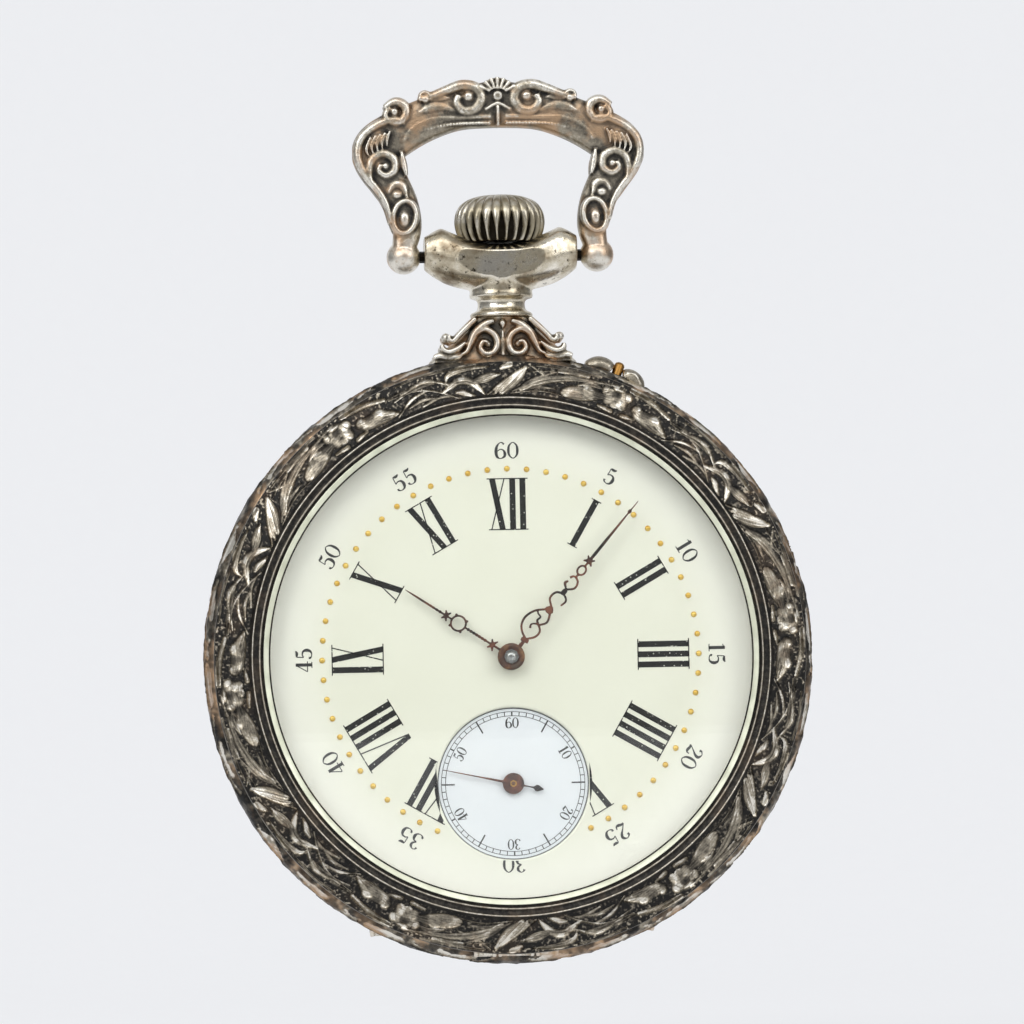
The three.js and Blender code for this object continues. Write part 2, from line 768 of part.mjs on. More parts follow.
const balanceArm = 0.5;
const staffRadius = 0.36;
const staffRise = 0.3; // from the back of the cock to the end of the staff
const staffBack = cockBack + staffRise;
const balanceScrews = 4;
const balanceScrewRadius = 0.24;
const balanceWheel = () => {
  const front = balanceBack + balanceThick;
  const middle = balanceBack + balanceThick / 2;
  const screws = [];
  const inside = balanceRadius - balanceRim / 2;
  const outside = balanceRadius + balanceScrewRadius;
  for (let k = 0; k < balanceScrews; k += 1) {
    const angle = (k + 1 / 2) * turn / balanceScrews;
    const reach = (radius) => [radius * Math.cos(angle), radius * Math.sin(angle), middle];
    screws.push(rod(reach(inside), reach(outside), balanceScrewRadius, pivotSides));
  }
  return at(joined(
    ringOf(balanceRadius, balanceRadius - balanceRim, balanceBack, front),
    block([-inside, -balanceArm / 2, balanceBack + seat], [inside, balanceArm / 2, front - seat]),
    ...screws,
  ).subtract(disc(staffRadius + seat, balanceBack - overrun, front + overrun, centre, tubeSides)), balanceAt);
};
const balanceCollar = 0.75;
const balanceFront = balanceBack + balanceThick;
const balanceStaff = () => at(joined(
  disc(staffRadius - running / 2, hairspringBack - seat, plateBack - air, centre, tubeSides),
  disc(balanceCollar, balanceFront + seat / 2, balanceFront + 3 * seat, centre, tubeSides),
  disc(rollerRadius, escapeBack - air - rollerThick, escapeBack - air, centre, ringSides),
  disc(pivotRadius, staffBack, plateBack + platePivotDepth, centre, pivotSides),
), balanceAt);

const hairspring = () => {
  const steps = hairspringTurns * hairspringSteps;
  const sections = [];
  for (let s = 0; s <= steps; s += 1) {
    const angle = turn * s / hairspringSteps;
    const radius = hairspringInner + (hairspringOuter - hairspringInner) * s / steps;
    const corner = (side, height) => [
      (radius + side * hairspringBlade / 2) * Math.cos(angle),
      (radius + side * hairspringBlade / 2) * Math.sin(angle),
      hairspringBack + height,
    ];
    sections.push([corner(-1, 0), corner(1, 0), corner(1, hairspringHeight), corner(-1, hairspringHeight)]);
  }
  return at(loft(sections), balanceAt);
};

// Plate, bridges and cocks
const hole = (where, radius, back, front, sides = tubeSides) => (
  disc(radius, back - overrun, front + overrun, where, sides)
);
const pivotHole = pivotRadius + running + seat / 2;
const pivotHoles = (places, back, front) => places.map((where) => (
  hole(where, pivotHole, back, front, pivotSides)
));
const stemSlot = windingRadius + air;
const plateRecess = barrelMesh.radius + barrelRoom;
const minutePost = 0.45;
const centreRecessShare = 1.3; // room for the tips of the centre pinion's leaves
const mainplate = () => {
  const pushSlot = clockwise(block(
    [-pushRadius - air, pushInner - pushTravel - air, -pushRadius - air],
    [pushRadius + air, plateFlange + overrun, pushRadius + air],
  ), pushAngle);
  const windingSlot = block(
    [-stemSlot, slidingAt - slidingLength / 2 - air, plateBack - overrun],
    [stemSlot, windingAt + windingLength / 2 + air, plateRimFront + overrun],
  );
  const stemGroove = block(
    [-stemRadius - air, windingAt, -stemRadius - air],
    [stemRadius + air, plateFlange + overrun, stemRadius + air],
  );
  const centreRecess = barrelMesh.otherRadius * centreRecessShare + air;
  return cut(
    joined(
      revolve([
        [0, plateBack], [plateRadius, plateBack], [plateRadius, 0], [plateFlange, 0],
        [plateFlange, plateRimFront], [plateRim, plateRimFront], [plateRim, plateFront], [0, plateFront],
      ], plateSides),
      disc(minutePost, plateFront - seat, hourWheelBack + motionThick + seat, minuteWheelAt, tubeSides),
    ),
    disc(plateRecess, plateBack - overrun, barrelFront + air, barrelAt),
    hole(barrelAt, barrelArborRadius + running, 0, plateFront),
    hole(centre, centreArbor + running + seat / 2, 0, plateFront),
    disc(centreRecess, plateBack - overrun, barrelFront + air, centre, ringSides),
    hole(fourthAt, secondsPost + running + seat / 2, plateBack, plateFront),
    ...pivotHoles([thirdAt, escapeAt, palletAt, balanceAt], plateBack, plateFront),
    windingSlot,
    stemGroove,
    pushSlot,
    ...caseScrewPlaces.map((where) => joined(
      disc(screwHead + running, plateBack - overrun, caseScrewUnder + seat, where, tubeSides),
      disc(screwShank + running, plateBack, caseScrewUnder + caseScrewLength + seat, where, pivotSides),
    )),
  );
};

// A sector of a ring between two angles clockwise from 12 o'clock
const sectorSteps = 5;
const arc = (radius, [from, to]) => {
  const points = [];
  for (let s = 0; s <= sectorSteps; s += 1) {
    points.push(place(radius, from + (to - from) * s / sectorSteps));
  }
  return points;
};
const sector = (inner, outer, sweep, back, front) => (
  prism(shapeOf([...arc(outer, sweep), ...arc(inner, sweep).reverse()]), back, front)
);
const bridgeRadius = plateRadius - air;
const bridgeFootFront = plateBack - seat / 2;

// Outlines of the bridges, as shares of the bridge radius
const barrelBridgeShares = [[0.34, 0.5], [0.2, 0.24], [-0.1, 0.14], [-0.5, 0.19]];
const barrelBridgeSweep = [-70, 24];
const trainBridgeShares = [
  [-0.34, -0.4], [-0.28, -0.31], [-0.11, -0.08], [-0.08, 0.09], [0.09, 0.13], [0.45, 0.22],
];
const trainBridgeSweep = [76, 204];
// The feet that the bridges stand on, as angles clockwise from 12 o'clock
const barrelFootSweeps = [[-66, -14], [14, 22]];
const trainFootSweep = [80, 200];
const bridgePlate = (shares, sweep, back, front) => {
  const inner = shares.map(([x, y]) => [x * bridgeRadius, y * bridgeRadius]);
  return prism(shapeOf([...arc(bridgeRadius, sweep), ...inner]), back, front);
};
const bridgeFoot = (sweep, back) => (
  sector(bridgeFootInner, bridgeRadius, sweep, back - overrun, bridgeFootFront)
);
const screwHoles = (places) => places.map((where) => (
  hole(where, screwShank + running, bridgeBack, plateBack + overrun)
));
const barrelBridge = () => cut(
  joined(
    bridgePlate(barrelBridgeShares, barrelBridgeSweep, bridgeBack, barrelBridgeFront),
    ...barrelFootSweeps.map((sweep) => bridgeFoot(sweep, barrelBridgeFront)),
  ),
  hole(barrelAt, barrelArborRadius + running, bridgeBack, barrelBridgeFront),
  disc(crownSkirtRadius + running, bridgeBack - overrun, barrelBridgeFront + overrun, crownWheelAt),
  hole(clickAt, screwShank + running, bridgeBack, barrelBridgeFront),
  ...screwHoles(barrelBridgeScrews),
);
const trainBridge = () => cut(
  joined(
    bridgePlate(trainBridgeShares, trainBridgeSweep, bridgeBack, trainBridgeFront),
    bridgeFoot(trainFootSweep, trainBridgeFront),
  ),
  hole(centre, centrePivot + running + seat / 2, bridgeBack, trainBridgeFront),
  ...pivotHoles([thirdAt, fourthAt, escapeAt], bridgeBack, trainBridgeFront),
  ...screwHoles(trainBridgeScrews),
);

const palletBridgeBack = -2.2;
const palletBridgeFront = -1.66;
const palletBridgeWidth = 1.3;
const palletFootShare = 0.91;
const palletFootAt = place(palletDistance * palletFootShare, balanceAngle - quarterTurn, palletAt);
const between = (from, to, width, back, front) => {
  const length = Math.hypot(to[0] - from[0], to[1] - from[1]);
  const bar = block([0, -width / 2, back], [length, width / 2, front]);
  return at(turned(bar, Math.atan2(to[1] - from[1], to[0] - from[0])), from);
};
const palletBridge = () => cut(
  joined(
    between(palletAt, palletFootAt, palletBridgeWidth, palletBridgeBack, palletBridgeFront),
    disc(palletBridgeWidth / 2, palletBridgeBack, palletBridgeFront, palletAt, tubeSides),
    disc(palletBridgeWidth / 2, palletBridgeBack, bridgeFootFront, palletFootAt, tubeSides),
  ),
  ...pivotHoles([palletAt], palletBridgeBack, palletBridgeFront),
);

const cockSweep = [236, 270];
const cockEnd = 2.4;
const studWidth = 0.7;
const cockMiddle = (cockSweep[0] + cockSweep[1]) / 2;
const balanceCock = () => {
  const points = [
    ...arc(bridgeRadius, cockSweep),
    place(cockEnd, cockMiddle + quarterTurn, balanceAt),
    place(cockEnd, cockMiddle - quarterTurn, balanceAt),
  ];
  const studAt = [balanceAt[0] + hairspringOuter + studWidth / 2, balanceAt[1]];
  return cut(
    joined(
      prism(shapeOf(points), cockBack, cockFront),
      disc(cockEnd, cockBack, cockFront, balanceAt, ringSides),
      between(balanceAt, studAt, studWidth, cockBack, cockFront),
      sector(cockFootInner, bridgeRadius, cockSweep, cockFront - overrun, bridgeFootFront),
    ),
    ...pivotHoles([balanceAt], cockBack, cockFront),
    hole(cockScrewAt, screwShank + running, cockBack, plateBack),
  );
};
const regulatorRing = 1.15;
const regulatorReach = 4.6;
const regulatorThick = 0.22;
const regulatorFront = cockBack - seat / 2;
const regulatorBack = regulatorFront - regulatorThick;
const jewelRadius = 0.62;
const regulator = () => {
  const tail = prism(shapeOf([
    [0, -regulatorRing / 3], [regulatorReach, -slotWidth / 3],
    [regulatorReach, slotWidth / 3], [0, regulatorRing / 3],
  ]), regulatorBack, regulatorFront);
  return at(cut(
    joined(
      disc(regulatorRing, regulatorBack, regulatorFront, centre, ringSides),
      turned(tail, radians(quarterTurn - cockMiddle)),
    ),
    disc(jewelRadius + running, regulatorBack - overrun, regulatorFront + overrun, centre, ringSides),
  ), balanceAt);
};
const balanceJewel = () => disc(
  jewelRadius, regulatorBack - seat, regulatorFront - seat / 2, balanceAt, ringSides,
);

// Click, a pawl that stops just clear of the ratchet's teeth
const clickGap = 0.08;
const clickHub = 0.75;
const clickFront = bridgeBack - seat;
const ratchetTip = ratchetMesh.radius * (1 + toothDepthShare * 2 * bite / ratchetTeeth);
const clickDirection = () => {
  const [x, y] = [barrelAt[0] - clickAt[0], barrelAt[1] - clickAt[1]];
  const apart = Math.hypot(x, y);
  const wanted = ratchetTip + clickGap;
  const lean = Math.acos((apart ** 2 + clickReach ** 2 - wanted ** 2) / (2 * apart * clickReach));
  return Math.atan2(y, x) - lean;
};
// The pawl's outline: along its reach and across its hub, as shares
const pawlShares = [[0, -0.9], [1, 0], [0.9, 0.4], [0, 0.9]];
const click = () => at(joined(
  disc(clickHub, clickFront - clickThick, clickFront, centre, tubeSides),
  disc(screwShank, clickFront - clickThick, clickFront + 2 * clickThick, centre, tubeSides),
  turned(prism(
    shapeOf(pawlShares.map(([along, across]) => [clickReach * along, clickHub * across])),
    clickFront - clickThick, clickFront,
  ), clickDirection()),
), clickAt);
const springBlade = 0.18;
const springSteps = 8;
const springStart = 225; // degrees behind the pawl, half a turn before the blade's end
const clickSpring = () => {
  const sections = [];
  const radius = clickHub + springBlade + 2 * air;
  for (let s = 0; s <= springSteps; s += 1) {
    const angle = clickDirection() - radians(springStart) + Math.PI * s / springSteps;
    const corner = (reach, height) => [
      clickAt[0] + reach * Math.cos(angle), clickAt[1] + reach * Math.sin(angle), clickFront - height,
    ];
    sections.push([
      corner(radius, 0), corner(radius + springBlade, 0),
      corner(radius + springBlade, clickThick), corner(radius, clickThick),
    ]);
  }
  return loft(sections);
};

// Screws, each with its slot
const barrelScrewAngles = [-62, -24];
const trainScrewAngles = [88, 192];
const caseScrewAngles = [48, 219];
const barrelSlotAngles = [35, 70]; // how the slots are turned, in degrees
const trainSlotAngles = [50, 100];
const caseSlotAngles = [70, 140];
const cockSlotAngle = 20;
const bridgeScrewRadius = (bridgeFootInner + bridgeRadius) / 2;
const cockScrewRadius = (cockFootInner + bridgeRadius) / 2;
const caseScrewInset = 0.5; // from the plate's edge to the middle of a case screw
const barrelBridgeScrews = barrelScrewAngles.map((angle) => place(bridgeScrewRadius, angle));
const trainBridgeScrews = trainScrewAngles.map((angle) => place(bridgeScrewRadius, angle));
const cockScrewAt = place(cockScrewRadius, cockMiddle);
const caseScrewPlaces = caseScrewAngles.map((angle) => place(plateRadius - caseScrewInset, angle));
const screw = (where, under, length, slotAngle) => cut(
  joined(
    disc(screwHead, under - screwHeadHeight, under, where, tubeSides),
    disc(screwShank, under - seat, under + length, where, pivotSides),
  ),
  at(clockwise(block(
    [-screwHead - overrun, -slotWidth / 2, under - screwHeadHeight - overrun],
    [screwHead + overrun, slotWidth / 2, under - screwHeadHeight + slotDepth],
  ), slotAngle), where),
);
const bridgeScrewLength = plateBack - bridgeBack - seat;
const cockScrewLength = plateBack - cockBack - seat;
const caseScrewUnder = ledgeBack - seat;
const caseScrewLength = 1.1;

// Motion work
const cannonBore = centrePost + running / 2;
const cannonBack = plateFront + 2 * seat;
const minuteWheelFront = minuteWheelBack + motionThick;
const hourWheelFront = hourWheelBack + motionThick;
const cannonPinion = () => cut(
  joined(
    pinion(
      cannonLeaves, minuteMesh.otherRadius, minuteMesh.otherPhase,
      cannonBack, minuteWheelFront + pinionReach,
    ),
    disc(cannonTube, cannonBack, cannonFront, centre, tubeSides),
  ),
  disc(cannonBore, plateFront - overrun, cannonFront + overrun, centre, tubeSides),
);
const minuteWheel = () => at(cut(
  joined(
    prism(
      toothed(minuteTeeth, minuteMesh.radius, minuteMesh.phase), minuteWheelBack, minuteWheelFront,
    ),
    pinion(
      minutePinionLeaves, hourMesh.otherRadius, hourMesh.otherPhase, minuteWheelBack, hourWheelFront,
    ),
  ),
  disc(minutePost + running, minuteWheelBack - overrun, hourWheelFront + overrun, centre, tubeSides),
), minuteWheelAt);
const hourBore = cannonTube + running;
const hourWheel = () => cut(
  joined(
    prism(toothed(hourTeeth, hourMesh.radius, hourMesh.phase), hourWheelBack, hourWheelFront),
    disc(hourTubeRadius, hourWheelBack, hourTubeFront, centre, ringSides),
  ),
  disc(hourBore, hourWheelBack - overrun, hourTubeFront + overrun, centre, tubeSides),
);

// Dial and the sunk seconds dial
const dialFront = dialBack + dialThick;
const dial = () => cut(
  revolve([
    [0, dialBack], [dialRadius, dialBack], [dialRadius, dialFront], [0, dialFront],
  ], caseSides),
  disc(dialHole, dialBack - overrun, dialFront + overrun, centre, ringSides),
  disc(secondsRadius, dialBack - overrun, dialFront + overrun, fourthAt),
);
const secondsDial = () => cut(
  disc(secondsRadius - seat, dialFront - secondsSunk - secondsThick, dialFront - secondsSunk, fourthAt),
  disc(secondsHole, dialBack, dialFront + overrun, fourthAt, tubeSides),
);

// Hands, drawn pointing at 12 o'clock and turned to the time
const hourRingShare = 0.48; // places along a hand, as shares of its length
const hourRingRadius = 0.73;
const hourRingWall = 0.24;
const hourStarShare = 0.6;
const hourStar = 0.5;
const shaftWidth = 0.34;
const lanceWidth = 0.5;
const tipWidth = 0.1;
const hubInShare = 0.8; // where a shaft starts inside its hub
const starWaist = 0.4; // waist of a four-pointed star, as a share of its reach
const starCorners = 8;
const scrollSides = 8;
const starShape = (reach, y) => {
  const points = [];
  for (let k = 0; k < starCorners; k += 1) {
    const radius = k % 2 ? reach * starWaist : reach;
    const angle = turn * k / starCorners;
    points.push([radius * Math.sin(angle), y + radius * Math.cos(angle)]);
  }
  return shapeOf(points);
};
const hand = (back, angle, outlines, bore, rings = []) => {
  const front = back + handThick;
  const flat = outlines.map((shape) => prism(shape, back, front));
  const scrolls = rings.map(([x, y, radius, wall]) => (
    ringOf(radius, radius - wall, back, front, [x, y], scrollSides)
  ));
  const body = cut(
    joined(...flat, ...scrolls),
    disc(bore, back - overrun, front + overrun, centre, ringSides),
  );
  return clockwise(body, angle);
};
const circleShape = (radius) => {
  const points = [];
  for (let k = 0; k < ringSides; k += 1) {
    const angle = turn * k / ringSides;
    points.push([radius * Math.cos(angle), radius * Math.sin(angle)]);
  }
  return shapeOf(points);
};
const taper = (from, to, startWidth, endWidth) => shapeOf([
  [-startWidth / 2, from], [startWidth / 2, from], [endWidth / 2, to], [-endWidth / 2, to],
]);
const hourHand = () => {
  const ringY = hourLength * hourRingShare;
  const starY = hourLength * hourStarShare;
  return hand(hourHandBack, hourAngle, [
    circleShape(hourHub),
    taper(hourHub * hubInShare, ringY - hourRingRadius + hourRingWall / 2, shaftWidth, shaftWidth),
    starShape(hourStar, hourHub + hourStar),
    taper(ringY + hourRingRadius - hourRingWall / 2, starY, shaftWidth, shaftWidth),
    starShape(hourStar, starY),
    taper(starY, hourLength, lanceWidth, tipWidth),
  ], hourTubeRadius + running / 2, [[0, ringY, hourRingRadius, hourRingWall]]);
};
// Open scrolls of the minute hand: sideways offset and place along the hand as shares, and radius
const scrollShares = [
  [0.012, 0.18, 0.07], [-0.012, 0.295, 0.064], [0.008, 0.405, 0.062], [0, 0.505, 0.05],
];
const scrollWall = 0.26;
const minuteStarShare = 0.61;
const minuteStar = 0.55;
const shaftEndShare = 0.125; // the shaft below the scrolls and the lance above them
const lanceStartShare = 0.535;
const minuteHand = () => hand(minuteHandBack, minuteAngle, [
  circleShape(minuteHub),
  taper(minuteHub * hubInShare, minuteLength * shaftEndShare, shaftWidth, shaftWidth),
  starShape(minuteStar, minuteLength * minuteStarShare),
  taper(minuteLength * lanceStartShare, minuteLength, lanceWidth, tipWidth),
], cannonTube + running / 2, scrollShares.map(([x, y, radius]) => [
  x * minuteLength, y * minuteLength, radius * minuteLength, scrollWall,
]));
const secondsWidth = 0.2;
const secondsRoot = 0.32;
// The counterweight's arrow head: across in widths of the hand, and along its tail, as shares
const arrowShares = [[0, 1], [-1.8, 0.72], [-0.5, 0.55], [-0.5, 0], [0.5, 0], [0.5, 0.55], [1.8, 0.72]];
const secondsHand = () => at(hand(secondsHandBack, secondsAngle, [
  circleShape(secondsHub),
  taper(0, secondsLength, secondsRoot, tipWidth),
  shapeOf(arrowShares.map(([across, along]) => [secondsWidth * across, -secondsTail * along])),
], secondsPost + running / 2), fourthAt);

// Case band with its ledge, its lip at the rear joint, and the openings for stem and push pin
const bandOutline = [
  [bandInner, -bandHalf], [rimRadius, -bandHalf], [caseRadius, -bandHalf * sideShare],
  [caseRadius, bandHalf * sideShare], [rimRadius, bandHalf], [bandInner, bandHalf],
];
const ledgeOutline = [
  [bandInner, ledgeFront], [ledgeInner, ledgeFront], [ledgeInner, ledgeBack], [bandInner, ledgeBack],
];
const knuckle = (from, to, y, z, radius) => rod([from, y, z], [to, y, z], radius);
const rearBore = () => knuckle(
  -rearHalf - overrun, rearHalf + overrun, rearAxisY, rearAxisZ, rearPin + running,
);
const frontBore = () => knuckle(
  -frontHalf - overrun, frontHalf + overrun, frontAxisY, frontAxisZ, frontPin + running,
);
const lugShare = 0.8; // width of a lug, as a share of its knuckle's
const caseBand = () => {
  const lip = revolve([
    [bandInner, -bandHalf - lipBack], [rimRadius - seat, -bandHalf - lipBack],
    [rimRadius - seat, -bandHalf + overrun], [bandInner, -bandHalf + overrun],
  ], caseSides).intersect(block(
    [-rearHalf, -caseRadius, -bandHalf - lipBack - overrun],
    [rearHalf, rearAxisY - rearTube - air, 0],
  ));
  const fixedKnuckles = [-1, 1].map((side) => joined(
    knuckle(side * (rearCoverOuter + seat), side * rearHalf, rearAxisY, rearAxisZ, rearTube),
    at(block(
      [-rearLug / 2, rearAxisY - rearTube * lugShare, rearAxisZ],
      [rearLug / 2, rearAxisY + rearTube * lugShare, -bandHalf + overrun],
    ), [side * (rearCoverOuter + seat + rearHalf) / 2, 0]),
  ));
  const frontKnuckles = [-1, 1].map((side) => knuckle(
    side * (frontMiddle + seat), side * frontHalf, frontAxisY, frontAxisZ, frontTube,
  ));
  const recess = block(
    [-frontMiddle - seat, -caseRadius - overrun, frontAxisZ - frontTube - air],
    [frontMiddle + seat, frontAxisY + frontTube + air, bandHalf + overrun],
  );
  const rimRelief = block(
    [-frontRecess, -caseRadius - overrun, frontAxisZ - frontTube - air],
    [frontRecess, frontAxisY - seat, bandHalf + overrun],
  );
  const outwardHole = (radius) => rod([0, ledgeInner - overrun, 0], [0, caseRadius + overrun, 0], radius);
  return cut(
    joined(
      cut(revolve([...bandOutline, ...ledgeOutline], caseSides), recess, rimRelief),
      lip, ...fixedKnuckles, ...frontKnuckles,
    ),
    rearBore(),
    frontBore(),
    outwardHole(stemBore),
    clockwise(outwardHole(pushRadius + running), pushAngle),
  );
};

const bezelFoot = bezelFloor + bezelEdge;
const bezel = () => {
  const ring = revolve([
    [bezelInner, bezelLipFloor], [mouldingEnd, bezelLipFloor], [bezelRim - bezelWall, bezelFloor],
    [bezelRim, bezelFloor], [bezelRim, bezelFoot],
    [borderRadius, borderHeight],
    [mouldingEnd, mouldingFoot], [mouldingRadius, mouldingTop], [grooveRadius, grooveTop],
    [grooveRadius, grooveFloor], [bezelInner, grooveFloor],
  ], caseSides);
  const reach = frontTube + air;
  const clearances = [[-frontHalf, -frontMiddle], [frontMiddle, frontHalf]].map(([from, to]) => block(
    [from - seat, frontAxisY - reach, bandHalf - overrun],
    [to + seat, frontAxisY + reach, frontAxisZ + reach],
  ));
  const arm = block(
    [-frontMiddle + seat, frontAxisY, frontAxisZ],
    [frontMiddle - seat, frontAxisY + frontTube, bezelFloor + bezelEdge],
  );
  const tube = knuckle(-frontMiddle + seat, frontMiddle - seat, frontAxisY, frontAxisZ, frontTube);
  return cut(joined(cut(ring, ...clearances), arm, tube), frontBore());
};

const domed = (share, edge, rise) => edge + rise * (1 - share ** 2);
const crystal = () => {
  const outer = [];
  const inner = [];
  for (let k = 0; k <= glassRings; k += 1) {
    const share = k / glassRings;
    outer.push([glassRadius * share, domed(share, grooveFloor + seat + glassEdge, glassRise)]);
    inner.push([glassRadius * share, domed(share, grooveFloor + seat, glassRise + glassEdge - glassThick)]);
  }
  return revolve([...inner, ...outer.reverse()], caseSides);
};

// The domes of the back cover and the cuvette, as shares of their radius and of their depth
const coverShares = [[1, 0], [1, 0.12], [0.95, 0.34], [0.83, 0.63], [0.58, 0.9]];
const coverInnerShares = [[1, 0], [0.97, 0.22], [0.82, 0.6]];
const coverOutline = (shares, radius, depth, flat) => [
  ...shares.map(([r, z]) => [radius * r, -bandHalf - seat - (depth - bandHalf - seat) * z]),
  [flat, -depth], [0, -depth],
];
const cuvetteShares = [[1, 0], [0.92, 0.76]];
const cuvetteInnerShares = [[1, 0], [0.912, 0.76]];
const coverBody = (radius, depth, wall, shares, innerShares, chord) => {
  const outer = coverOutline(shares, radius, depth, cartoucheRadius);
  const inner = coverOutline(innerShares, radius - wall, depth - wall, cartoucheRadius - wall);
  const shell = revolve([...outer.reverse(), ...inner], caseSides);
  return shell.intersect(block([-caseRadius, chord, -depth - overrun], [caseRadius, caseRadius, 0]));
};
const rearArms = (spans, wall, back, chord) => joined(...spans.map(([from, to]) => joined(
  knuckle(from, to, rearAxisY, rearAxisZ, rearTube),
  block([from, rearAxisY, rearAxisZ - rearTube], [to, chord + wall, rearAxisZ - rearTube + wall]),
  block([from, chord, back], [to, chord + wall, rearAxisZ - rearTube + wall]),
)));
const backCover = () => cut(
  joined(
    coverBody(bezelRim, coverDepth, coverWall, coverShares, coverInnerShares, rearCut),
    rearArms(
      [[-rearCoverOuter, -rearCoverInner - seat], [rearCoverInner + seat, rearCoverOuter]],
      coverWall,
      rearArmBack,
      rearCut,
    ),
  ),
  rearBore(),
);
const cuvette = () => cut(
  joined(
    coverBody(cuvetteRim, cuvetteDepth, cuvetteWall, cuvetteShares, cuvetteInnerShares, cuvetteCut),
    rearArms([[-rearCoverInner, rearCoverInner]], cuvetteWall, cuvetteArmBack, cuvetteCut),
  ),
  rearBore(),
);
const rearHingePin = () => knuckle(-rearHalf, rearHalf, rearAxisY, rearAxisZ, rearPin);
const frontHingePin = () => knuckle(-frontHalf, frontHalf, frontAxisY, frontAxisZ, frontPin);

// Pendant
const saddleSides = 12;
const oval = (x, y, halfWidth, halfDepth, along, sides = saddleSides) => {
  const points = [];
  for (let k = 0; k < sides; k += 1) {
    const across = Math.cos(turn * k / sides);
    const deep = Math.sin(turn * k / sides);
    points.push(along === 'y'
      ? [x + halfWidth * across, y, halfDepth * deep]
      : [x, y + halfWidth * across, halfDepth * deep]);
  }
  return points;
};
const bandTool = () => revolve([
  [0, -bandHalf - overrun], [rimRadius + seat, -bandHalf - overrun],
  ...bandOutline.slice(1, -1).map(([radius, z]) => [radius + seat, z]),
  [rimRadius + seat, bandHalf + overrun], [0, bandHalf + overrun],
], caseSides);
const stemHole = () => rod([0, footBottom - overrun, 0], [0, crownBottom + overrun, 0], stemBore);
// The foot's flare: height, width and depth as shares
const footShares = [
  [0, 1.1, 1], [0.25, 1, 1], [0.43, 0.77, 0.97], [0.66, 0.55, 0.92], [0.86, 0.43, 0.88], [1, 0.41, 0.86],
];
const pendantFoot = () => cut(
  loft(footShares.map(([height, width, depth]) => oval(
    0, footBottom + (footTop - footBottom) * height, footHalfWidth * width, footHalfDepth * depth, 'y',
  ))),
  bandTool(),
  stemHole(),
);
// The boat's right half: distance out, rise of its top and of its underside, and depth, as shares
const saddleShares = [[0, 0, 0, 1], [0.42, 0.03, 0.07, 0.98], [0.65, 0.35, 0.35, 0.85]];
const pendant = () => {
  const middle = (top, bottom) => (top + bottom) / 2;
  const right = saddleShares.map(([x, top, bottom, depth]) => {
    const high = saddleMiddleTop + (saddleTip - saddleMiddleTop) * top;
    const low = saddleBottom + (saddleEndLow - saddleBottom) * bottom;
    return [saddleHalf * x, high, low, saddleDepth * depth];
  });
  const tipLow = (saddleBottom + 2 * saddleEndLow) / 3;
  right.push([saddleTipAt, saddleTip, tipLow, (saddleDepth + saddleEndDepth) / 2]);
  right.push([saddleHalf, saddleEndHigh, saddleEndLow, saddleEndDepth]);
  const left = right.slice(1).reverse().map(([x, ...rest]) => [-x, ...rest]);
  const saddle = loft([...left, ...right].map(([x, high, low, depth]) => oval(
    x, middle(high, low), (high - low) / 2, depth, 'x',
  )));
  const neck = revolveUpright([
    [0, footTop], [flangeRadius, footTop], [flangeRadius, footTop + flangeHeight],
    [neckRadius, footTop + flangeHeight], [neckRadius, neckTop], [collarRadius, neckTop + flangeHeight],
    [collarRadius, collarTop], [0, collarTop],
  ], ringSides);
  const pivotBores = [-1, 1].map((side) => rod(
    [side * (saddleHalf - bowPivotInset - seat), bowPivotY, 0],
    [side * (saddleHalf + overrun), bowPivotY, 0],
    bowPivotRadius + seat,
  ));
  return cut(joined(saddle, neck), stemHole(), ...pivotBores);
};

// Crown, with flutes that fade towards its top; heights and radii as shares
const crownShares = [[0, 0.84, 1], [0.2, 1, 1], [0.68, 0.9, 0.8], [1, 0.36, 0]];
const crown = () => {
  const sections = crownShares.map(([height, width, deep]) => {
    const ring = [];
    for (let k = 0; k < 2 * crownFlutes; k += 1) {
      const radius = crownRadius * width - (k % 2) * fluteDepth * deep;
      const angle = turn * k / (2 * crownFlutes);
      ring.push([radius * Math.cos(angle), crownBottom + crownHeight * height, radius * Math.sin(angle)]);
    }
    return ring;
  });
  const socket = rod([0, crownBottom - overrun, 0], [0, stemTop + seat, 0], stemRadius + seat);
  return cut(loft(sections), socket);
};

